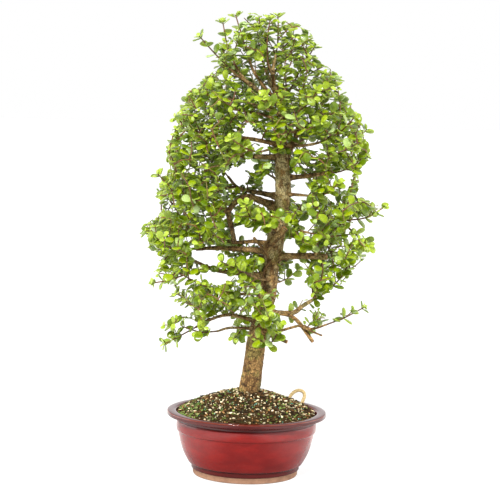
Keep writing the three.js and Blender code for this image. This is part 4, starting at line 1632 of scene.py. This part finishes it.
# Sub-assemblies
@dataclass
class Foliage:
    """Every leafy twig: the fine sprays that stand for the solids, and the shoots around them."""

    growth: Growth
    leaf: bpy.types.Material
    twig: bpy.types.Material
    twig_sides: int = 6
    leaf_sides: int = 12
    leaf_rings: int = 4
    thickness: float = 0.07
    width: float = 0.9

    def build(self) -> None:
        """Builds all the pieces."""
        self.templates = [self.template(i) for i in range(4)]
        self.draws = Draws(5005)
        for name, shoots in self.growth.sprays.items():
            self.piece(f"leafy_{name}", shoots, [f"spray_{name}"])
        for zone, shoots in self.growth.zones.items():
            self.piece(zone.value, shoots, [])
        leaves = sum(len(shoot.leaves) for shoot in self.shoots())
        LOG.info("foliage: %d leaves", leaves)

    def shoots(self) -> Iterable[Shoot]:
        """Every shoot."""
        for shoots in (*self.growth.sprays.values(), *self.growth.zones.values()):
            yield from shoots

    def template(self, kind: int) -> Template:
        """One leaf of length 1 along +X with its upper side along +Z.

        Args:
            kind: Which of the slightly different leaves.

        Returns:
            The template. Its shade layer holds the share of the length and of the thickness.
        """
        draws = Draws(40 + kind)
        wide, cup, curl = draws.between(0.92, 1.08), draws.between(0.1, 0.6), draws.between(-0.14, 0.03)
        skew, wave = draws.between(-0.05, 0.05), draws.between(-0.03, 0.03)
        shape = bmesh.new()
        shade = shape.verts.layers.float_color.new("shade")
        bmesh.ops.create_uvsphere(
            shape, u_segments=self.leaf_sides, v_segments=self.leaf_rings, radius=1
        )
        for vert in shape.verts:
            x, y, z = vert.co
            full = 1.22 if 0.1 < abs(z) < 0.9 else 1.0
            reach = ((1 + x * full) / 2) ** 0.85
            across = y * full * self.width * wide * (0.74 + 0.3 * reach) / 2
            across += skew * reach**2
            lift = z * self.thickness * (0.4 + 0.75 * reach) + cup * across**2 + curl * reach**2
            vert[shade] = (reach, 0.5 + 0.5 * z, 0, 0)
            vert.co = (reach, across, lift + wave * reach * y)
        return Template(f"leaf_{kind}", shape)

    def piece(self, name: str, shoots: Sequence[Shoot], replaced: Sequence[str]) -> None:
        """Makes one object of some shoots."""
        piece = Piece(name)
        for shoot in shoots:
            points = resampled([np.append(p, r) for p, r in zip(shoot.points, shoot.radii)], 3.4)
            self.tube(piece, points, shoot.youth)
            for leaf in shoot.leaves:
                side = np.cross(leaf.face, leaf.forward)
                swing = float(np.interp(leaf.base[2], (300, 560), (0.65, 0.5)))
                roll = self.draws.between(-swing, swing)
                up = leaf.face * math.cos(roll) + side * math.sin(roll)
                side = np.cross(up, leaf.forward)
                matrix = placing(leaf.base, leaf.forward, side, up, leaf.length)
                template = self.templates[int(self.draws.next() * len(self.templates))]
                piece.stamp(template, matrix, leaf.tone, leaf.youth)
        piece.make((self.leaf, self.twig), "leaf", replaced)

    def tube(self, piece: Piece, points: Sequence[Point], youth: float) -> None:
        """Adds one twig's stem."""
        radii = [float(p[3]) for p in points]
        tone = self.draws.next()
        stem = bent_tube(points, radii, self.twig_sides, shade=(0.1, 0, tone, youth))
        for face in stem.faces:
            face.material_index = 1
        piece.add(stem)


@dataclass
class Wood:
    """The trunk, every limb and the cut ends."""

    bark: bpy.types.Material
    cut: bpy.types.Material
    trunk_sides: int = 56
    trunk_pitch: float = 1.6
    limb_pitch: float = 2.0
    cut_ends: tuple[str, ...] = (
        "right_cut_low", "right_cut_twig", "right_cut_base", "right_thick", "front_cut", "front_cross",
    )

    def build(self) -> None:
        """Builds the one piece of wood."""
        self.draws = Draws(6006)
        piece = Piece("living_wood")
        points = resampled([np.array(row, float) for row in TRUNK], self.trunk_pitch)
        self.trunk = points
        piece.add(self.trunk_tube(points))
        for name, limb in LIMBS.items():
            piece.add(self.limb_tube(name, limb))
        piece.make((self.bark, self.cut), "bark", ["tree_wood"])

    def trunk_tube(self, points: Sequence[Point]) -> bmesh.types.BMesh:
        """The trunk, with lumps, level scars and cracks."""

        def relief(at: float, angle: float, radius: float) -> float:
            """What the bark adds to the radius."""
            x, y = math.cos(angle), math.sin(angle)
            share = min(radius / 12, 1.0)
            lump = noise.noise(Vector((x * 1.1, y * 1.1, at / 24)))
            ridge = noise.noise(Vector((x * 4 + 7, y * 4, at / 9)))
            scar = noise.noise(Vector((x * 0.9 + 3, y * 0.9, at / 4.2)))
            fine = noise.noise(Vector((x * 9, y * 9 + 5, at / 2.6)))
            crack = abs(noise.noise(Vector((x * 5, y * 5 + 11, at / 12))))
            cut = 0.7 * max(0, 0.12 - crack) / 0.12
            return share * (1.1 * lump + 0.55 * ridge + 0.45 * scar + 0.3 * fine - cut)

        tube = bent_tube(points, [float(p[3]) for p in points], self.trunk_sides, relief, (1, 0, 0.5, 0))
        shade = tube.verts.layers.float_color["shade"]
        for vert in tube.verts:
            rise = float(np.interp(vert.co.z, (260, 340, 470, 600), (0, 0.55, 0.9, 0.75)))
            vert[shade] = (1, rise, 0.5, 0)
        return tube

    def limb_tube(self, name: str, limb: Limb) -> bmesh.types.BMesh:
        """One limb, flared where it leaves its parent and ringed at its old nodes.

        Args:
            name: Its name.
            limb: The limb.

        Returns:
            Its tube.
        """
        line = smooth_line(limb.route, LIMB_STRETCH)
        radii = tapered(limb.root, limb.end, len(line))
        points = resampled([np.append(p, r) for p, r in zip(line, radii)], self.limb_pitch)
        nearest = min(self.trunk, key=lambda p: float(np.linalg.norm(p[:3] - points[0][:3])))
        buried = float(nearest[3]) if np.linalg.norm(nearest[:3] - points[0][:3]) < 8 else limb.root
        node_gap, phase = self.draws.between(7, 11), self.draws.between(0, 8)
        salt = self.draws.between(0, 50)

        def relief(at: float, angle: float, radius: float) -> float:
            """What flare, nodes and bark add to the radius."""
            flare = 0.5 * limb.root * math.exp(-max(0.0, at - buried) / 4.5)
            node = math.exp(-(((at + phase) % node_gap - node_gap / 2) / 0.9) ** 2)
            x, y = math.cos(angle), math.sin(angle)
            rough = noise.noise(Vector((x * 1.3 + salt, y * 1.3, at / 7)))
            return flare + radius * (0.09 * node + 0.14 * rough)

        sides = 14 if limb.root > 3.9 else 9
        age = min(1.0, limb.root / 5)
        pale = self.draws.next() * 0.35
        cut = name in self.cut_ends
        shade = (age, pale, self.draws.next(), 0)
        return bent_tube(points, [float(p[3]) for p in points], sides, relief, shade, cut)


@dataclass
class Pot:
    """The oval pot, glazed outside, with a bare foot and two drain holes."""

    glaze: bpy.types.Material
    clay: bpy.types.Material
    steps: int = 144
    foot_line: float = 9.6
    hole_sides: int = 28

    def build(self) -> None:
        """Builds the pot."""
        rim = rounded_section(POT_OUTSIDE[3:], 4)
        inside = rounded_section((POT_OUTSIDE[-1], *POT_INSIDE), 3)[1:]
        section = [(0, 0), *POT_OUTSIDE[:3], *rim, *inside, (0, FLOOR)]
        body = turned(section, self.steps)
        piece = Piece("oval_pot")
        piece.add(body)
        pot = piece.make((self.glaze, self.clay), "glaze", ["pot"])
        self.drill(pot)
        for face in pot.data.polygons:
            centre = face.center / MM
            inner = math.hypot(centre.x, centre.y / OVAL) < 112 and centre.z > self.foot_line
            sunk = inner and face.normal.dot(Vector((centre.x, centre.y, 0))) < 0
            face.material_index = 1 if centre.z < self.foot_line or sunk else 0

    def drill(self, pot: bpy.types.Object) -> None:
        """Cuts the drain holes."""
        drill = bmesh.new()
        for side in (-1, 1):
            made = bmesh.ops.create_cone(
                drill, cap_ends=True, segments=self.hole_sides, radius1=DRAIN_RADIUS * MM,
                radius2=DRAIN_RADIUS * MM, depth=4 * FLOOR * MM,
            )
            bmesh.ops.translate(drill, vec=(side * DRAIN_X * MM, 0, 0), verts=made["verts"])
        mesh = bpy.data.meshes.new("drill")
        drill.to_mesh(mesh)
        drill.free()
        cutter = bpy.data.objects.new("drill", mesh)
        bpy.context.scene.collection.objects.link(cutter)
        cut = pot.modifiers.new("drain", "BOOLEAN")
        cut.operation = "DIFFERENCE"
        cut.solver = "EXACT"
        cut.object = cutter
        graph = bpy.context.evaluated_depsgraph_get()
        drilled = bpy.data.meshes.new_from_object(pot.evaluated_get(graph))
        pot.modifiers.clear()
        pot.data = drilled
        bpy.data.objects.remove(cutter)


@dataclass(frozen=True)
class Grain:
    """One kind of grain in the top dressing."""

    finish: GritFinish
    share: float
    least: float
    most: float
    flat: float


@dataclass
class Soil:
    """The filled pot's soil with its mixed grit and moss."""

    ground: bpy.types.Material
    moss: bpy.types.Material
    grains: tuple[Grain, ...] = (
        Grain(GritFinish("grit_bark", "1f150b", "5c4022"), 0.38, 3.0, 8.5, 0.4),
        Grain(GritFinish("grit_clay", "80562e", "b98c58"), 0.09, 2.0, 4.8, 0.7),
        Grain(GritFinish("grit_pumice", "bfa878", "efe0be"), 0.15, 2.0, 5.8, 0.6),
        Grain(GritFinish("grit_green", "2f421c", "83924a"), 0.2, 1.9, 4.8, 0.7),
        Grain(GritFinish("grit_blue", "3d7a66", "8cc4ae"), 0.035, 1.6, 3.4, 0.85),
        Grain(GritFinish("grit_grey", "3f3a27", "9c9068"), 0.155, 1.8, 5.0, 0.7),
    )
    pitch: float = 3.3
    reach: float = 111.0
    steps: int = 96

    def build(self) -> None:
        """Builds the soil, the grains and the moss."""
        self.draws = Draws(3003)
        inner = ((0, 14.2), (70, 14.2), (79.4, 17), (90, 29), (99, 52.5), (105.2, 74.5), (111, 96))
        dome = rounded_section((*SOIL_DOME, (0, SOIL_TOP)), 4)
        body = turned([*inner, *dome], self.steps)
        for vert in body.verts:
            radius = math.hypot(vert.co.x, vert.co.y / OVAL)
            if vert.co.z > 103 and radius < 109:
                vert.co.z += 1.2 * noise.noise(vert.co / 6) + 0.5 * noise.noise(vert.co / 2.2) - 0.6
        piece = Piece("soil_bed")
        piece.add(body)
        piece.make((self.ground,), "soil", ["soil"])
        self.dress()

    def height(self, x: float, y: float) -> float:
        """The dome's height at a place."""
        rows = [(0, SOIL_TOP), *reversed(SOIL_DOME)]
        radius = math.hypot(x, y / OVAL)
        return float(np.interp(radius, [row[0] for row in rows], [row[1] for row in rows]))

    def grain_shape(self, kind: int, flat: float) -> Template:
        """One angular grain of length 1."""
        shape = bmesh.new()
        shape.verts.layers.float_color.new("shade")
        bmesh.ops.create_icosphere(shape, subdivisions=1, radius=0.5)
        for vert in shape.verts:
            swell = 1 + 0.35 * noise.noise(vert.co * 2.2 + Vector((kind * 7.3, 0, 0)))
            vert.co = Vector((vert.co.x * 1.25, vert.co.y * 0.72, vert.co.z * flat)) * swell
        return Template(f"grain_{kind}", shape)

    def turn(self) -> tuple[Point, Point, Point]:
        """Three random directions square to each other."""
        angle, lean = TAU * self.draws.next(), self.draws.between(-0.5, 0.5)
        x = point(math.cos(angle), math.sin(angle), lean)
        x = unit(x)
        z = point(self.draws.between(-0.4, 0.4), self.draws.between(-0.4, 0.4), 1)
        y = unit(np.cross(z, x))
        return x, y, np.cross(x, y)

    def dress(self) -> None:
        """Strews the grains over the dome and the moss at its left edge."""
        pieces = [Piece(grain.finish.name) for grain in self.grains]
        shapes = [
            [self.grain_shape(10 * i + j, grain.flat) for j in range(4)]
            for i, grain in enumerate(self.grains)
        ]
        bounds = np.cumsum([grain.share for grain in self.grains])
        rows = int(self.reach / self.pitch)
        for i in range(-rows, rows + 1):
            for j in range(-rows, rows + 1):
                x = (i + self.draws.between(-0.5, 0.5)) * self.pitch
                y = (j + self.draws.between(-0.5, 0.5)) * self.pitch
                pick, tone, value, size, which = (self.draws.next() for _ in range(5))
                x_axis, y_axis, z_axis = self.turn()
                if math.hypot(x, y / OVAL) > self.reach or math.hypot(x - 4, y) < 17.5:
                    continue
                kind = min(int(np.searchsorted(bounds, pick)), len(self.grains) - 1)
                grain = self.grains[kind]
                length = grain.least + (grain.most - grain.least) * size**2
                place = point(x, y, self.height(x, y) + length * 0.08)
                matrix = placing(place, x_axis, y_axis, z_axis, length)
                pieces[kind].stamp(shapes[kind][int(which * 4)], matrix, tone, value)
        for piece, grain in zip(pieces, self.grains):
            piece.make((grain.finish.build(),), "soil", smooth=False)
        self.moss_cushions()

    def moss_cushions(self) -> None:
        """Small cushions of moss at the left edge."""
        shape = bmesh.new()
        shape.verts.layers.float_color.new("shade")
        bmesh.ops.create_icosphere(shape, subdivisions=1, radius=0.5)
        tuft = Template("moss_tuft", shape)
        piece = Piece("moss_cushions")
        for _ in range(420):
            angle = self.draws.between(2.5, 3.9)
            radius = self.reach - 30 * self.draws.next() ** 2
            x, y = radius * math.cos(angle), radius * OVAL * math.sin(angle)
            if noise.noise(Vector((x / 9, y / 9, 0))) < -0.05:
                continue
            length = self.draws.between(1.6, 3.4)
            place = point(x, y, self.height(x, y) + 0.9)
            matrix = placing(place, *self.turn(), length)
            piece.stamp(tuft, matrix, self.draws.next(), self.draws.next())
        piece.make((self.moss,), "soil")


@dataclass
class Rope:
    """The tie rope's loop: three strands laid together, with loose fibres."""

    cord: bpy.types.Material
    strands: int = 3
    strand: float = 1.95
    lay: float = 9.0

    def build(self) -> None:
        """Builds the rope."""
        draws = Draws(8008)
        line = resampled([point(*place) for place in ROPE], 0.8)
        frames = turning_frames(line)
        piece = Piece("laid_rope")
        offset = ROPE_RADIUS - self.strand
        for strand in range(self.strands):
            points = []
            for i, (place, (normal, binormal)) in enumerate(zip(line, frames)):
                angle = TAU * (i * 0.8 / self.lay + strand / self.strands)
                aside = normal * (offset * math.cos(angle))
                points.append(place + aside + binormal * (offset * math.sin(angle)))
            piece.add(bent_tube(points, [self.strand] * len(points), 9, shade=(0, 0, draws.next(), 0)))
        for _ in range(46):
            i = int(draws.between(4, len(line) - 4))
            normal, binormal = frames[i]
            angle = TAU * draws.next()
            out = normal * math.cos(angle) + binormal * math.sin(angle)
            along = unit(line[i + 1] - line[i])
            root = line[i] + out * (ROPE_RADIUS - 0.5)
            tip = root + out * draws.between(0.8, 1.8) + along * draws.between(-3, 3)
            middle = (root + tip) / 2 + out * 0.5
            piece.add(bent_tube([root, middle, tip], [0.16, 0.13, 0.08], 4, shade=(0, 0, draws.next(), 0)))
        piece.make((self.cord,), "rope", ["tie_rope"])


@dataclass
class Studio:
    """A plain pale floor, soft light and the camera at the photograph's angle."""

    distance: float = 2.0
    height: float = 0.584
    aim_height: float = 0.376
    roll: float = -1.5
    lens: float = 1254 / 500 * 36
    shift_x: float = -0.0018
    shift_y: float = -0.0124
    front_light: float = 0.2
    back_light: float = 1.1
    horizon: float = 1.4
    box_power: float = 8.0
    floor_glow: float = 0.8

    def build(self) -> None:
        """Builds the studio."""
        self.floor()
        self.world()
        self.sun("key", (-0.3, -1.0, 0.92), 4.4, 9)
        self.sun("fill", (0.8, -0.7, 0.6), 0.8, 60)
        self.softbox("softbox_left", -1)
        self.softbox("softbox_right", 1)
        self.camera()
        bpy.context.scene.view_settings.view_transform = "Standard"

    def floor(self) -> None:
        """The floor, paler to the camera than to the object, so that it casts little light up."""
        graph = Graph("studio_floor")
        tone = graph.noise(graph.place(), 3)
        path = graph.node("ShaderNodeLightPath").outputs["Is Camera Ray"]
        pale = graph.mix(tone, shade_of("7a7a79"), shade_of("80807f"))
        across, _, _ = graph.split(graph.place())
        beside = graph.ramp(graph.math("ABSOLUTE", across, 0.0), 0.05, 0.2)
        unseen = graph.mix(beside, shade_of("949492"), shade_of("f0f0ee"))
        colour = graph.mix(path, unseen, pale)
        graph.surface(Base_Color=colour, Roughness=0.9, Emission_Color=(1, 1, 1, 1))
        graph.plug(graph.math("MULTIPLY", path, self.floor_glow), graph.shader.inputs["Emission Strength"])
        plane = bmesh.new()
        bmesh.ops.create_grid(plane, x_segments=1, y_segments=1, size=60)
        mesh = bpy.data.meshes.new("studio_floor")
        plane.to_mesh(mesh)
        plane.free()
        mesh.materials.append(graph.material)
        floor = bpy.data.objects.new("studio_floor", mesh)
        floor.location.z = -0.0005
        bpy.context.scene.collection.objects.link(floor)

    def world(self) -> None:
        """A white surround: brightest low behind the object, dimmer in front."""
        world = bpy.data.worlds.new("surround")
        bpy.context.scene.world = world
        world.use_nodes = True
        tree = world.node_tree
        light = tree.nodes["Background"]
        coords = tree.nodes.new("ShaderNodeTexCoord")
        parts = tree.nodes.new("ShaderNodeSeparateXYZ")
        tree.links.new(coords.outputs["Generated"], parts.inputs[0])

        def step(part: str, levels: tuple[float, float], values: tuple[float, float]) -> bpy.types.NodeSocket:
            """A smooth step along one axis."""
            made = tree.nodes.new("ShaderNodeMapRange")
            made.interpolation_type = "SMOOTHSTEP"
            made.inputs["From Min"].default_value, made.inputs["From Max"].default_value = levels
            made.inputs["To Min"].default_value, made.inputs["To Max"].default_value = values
            tree.links.new(parts.outputs[part], made.inputs["Value"])
            return made.outputs["Result"]

        strength = step("Y", (-0.8, -0.1), (self.front_light, self.back_light))
        low = step("Z", (0.1, 0.4), (self.horizon, 1.0))
        both = tree.nodes.new("ShaderNodeMath")
        both.operation = "MULTIPLY"
        tree.links.new(strength, both.inputs[0])
        tree.links.new(low, both.inputs[1])
        tree.links.new(both.outputs[0], light.inputs["Strength"])
        light.inputs["Color"].default_value = (1, 1, 1, 1)
        seen = tree.nodes.new("ShaderNodeBackground")
        seen.inputs["Color"].default_value = (1, 1, 1, 1)
        path = tree.nodes.new("ShaderNodeLightPath")
        mix = tree.nodes.new("ShaderNodeMixShader")
        tree.links.new(path.outputs["Is Camera Ray"], mix.inputs[0])
        tree.links.new(light.outputs[0], mix.inputs[1])
        tree.links.new(seen.outputs[0], mix.inputs[2])
        tree.links.new(mix.outputs[0], tree.nodes["World Output"].inputs[0])

    def sun(self, name: str, source: tuple[float, float, float], strength: float, spread: float) -> None:
        """A soft sun.

        Args:
            name: Its name.
            source: The direction that its light comes from.
            strength: Its strength.
            spread: Its width in degrees.
        """
        data = bpy.data.lights.new(name, "SUN")
        data.energy = strength
        data.angle = math.radians(spread)
        sun = bpy.data.objects.new(name, data)
        sun.rotation_euler = Vector(source).to_track_quat("Z", "Y").to_euler()
        bpy.context.scene.collection.objects.link(sun)

    def softbox(self, name: str, side: float) -> None:
        """A large soft light beside the object.

        Args:
            name: Its name.
            side: -1 on the left and 1 on the right.
        """
        data = bpy.data.lights.new(name, "AREA")
        data.shape = "RECTANGLE"
        data.size, data.size_y = 1.2, 1.2
        data.energy = self.box_power
        box = bpy.data.objects.new(name, data)
        box.location = (1.5 * side, 0.15, 0.6)
        box.rotation_euler = Vector((side, 0.1, 0.15)).to_track_quat("Z", "Y").to_euler()
        bpy.context.scene.collection.objects.link(box)

    def camera(self) -> None:
        """The camera, slightly above the crown's middle and rolled as the photograph is."""
        data = bpy.data.cameras.new("camera")
        data.sensor_width = 36
        data.lens = self.lens
        data.shift_x = self.shift_x
        data.shift_y = self.shift_y
        pitch = math.atan2(self.height - self.aim_height, self.distance)
        level = Vector((1, 0, 0))
        up = Vector((0, math.sin(pitch), math.cos(pitch)))
        ahead = Vector((0, math.cos(pitch), -math.sin(pitch)))
        c, s = math.cos(math.radians(self.roll)), math.sin(math.radians(self.roll))
        across, above = level * c - up * s, level * s + up * c
        camera = bpy.data.objects.new("camera", data)
        rows = [[across[i], above[i], -ahead[i], (0, -self.distance, self.height)[i]] for i in range(3)]
        camera.matrix_world = Matrix([*rows, [0, 0, 0, 1]])
        bpy.context.scene.collection.objects.link(camera)
        bpy.context.scene.camera = camera


def dress_screens() -> None:
    """Gives the two drain screens their plastic."""
    plastic = MeshPlasticFinish().build()
    for name in ("drain_screen_left", "drain_screen_right"):
        screen = bpy.data.objects[name]
        screen.data.materials.clear()
        screen.data.materials.append(plastic)


def main() -> None:
    """Builds the visual model and the studio."""
    logging.basicConfig(level=logging.INFO)
    growth = Growth()
    growth.run()
    bark = BarkFinish().build()
    Foliage(growth, LeafFinish().build(), TwigFinish().build()).build()
    Wood(bark, CutWoodFinish().build()).build()
    Pot(GlazeFinish().build(), ClayFinish().build()).build()
    Soil(GroundFinish().build(), MossFinish().build()).build()
    Rope(RopeFinish().build()).build()
    dress_screens()
    Studio().build()
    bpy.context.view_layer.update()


if __name__ == "__main__":
    main()
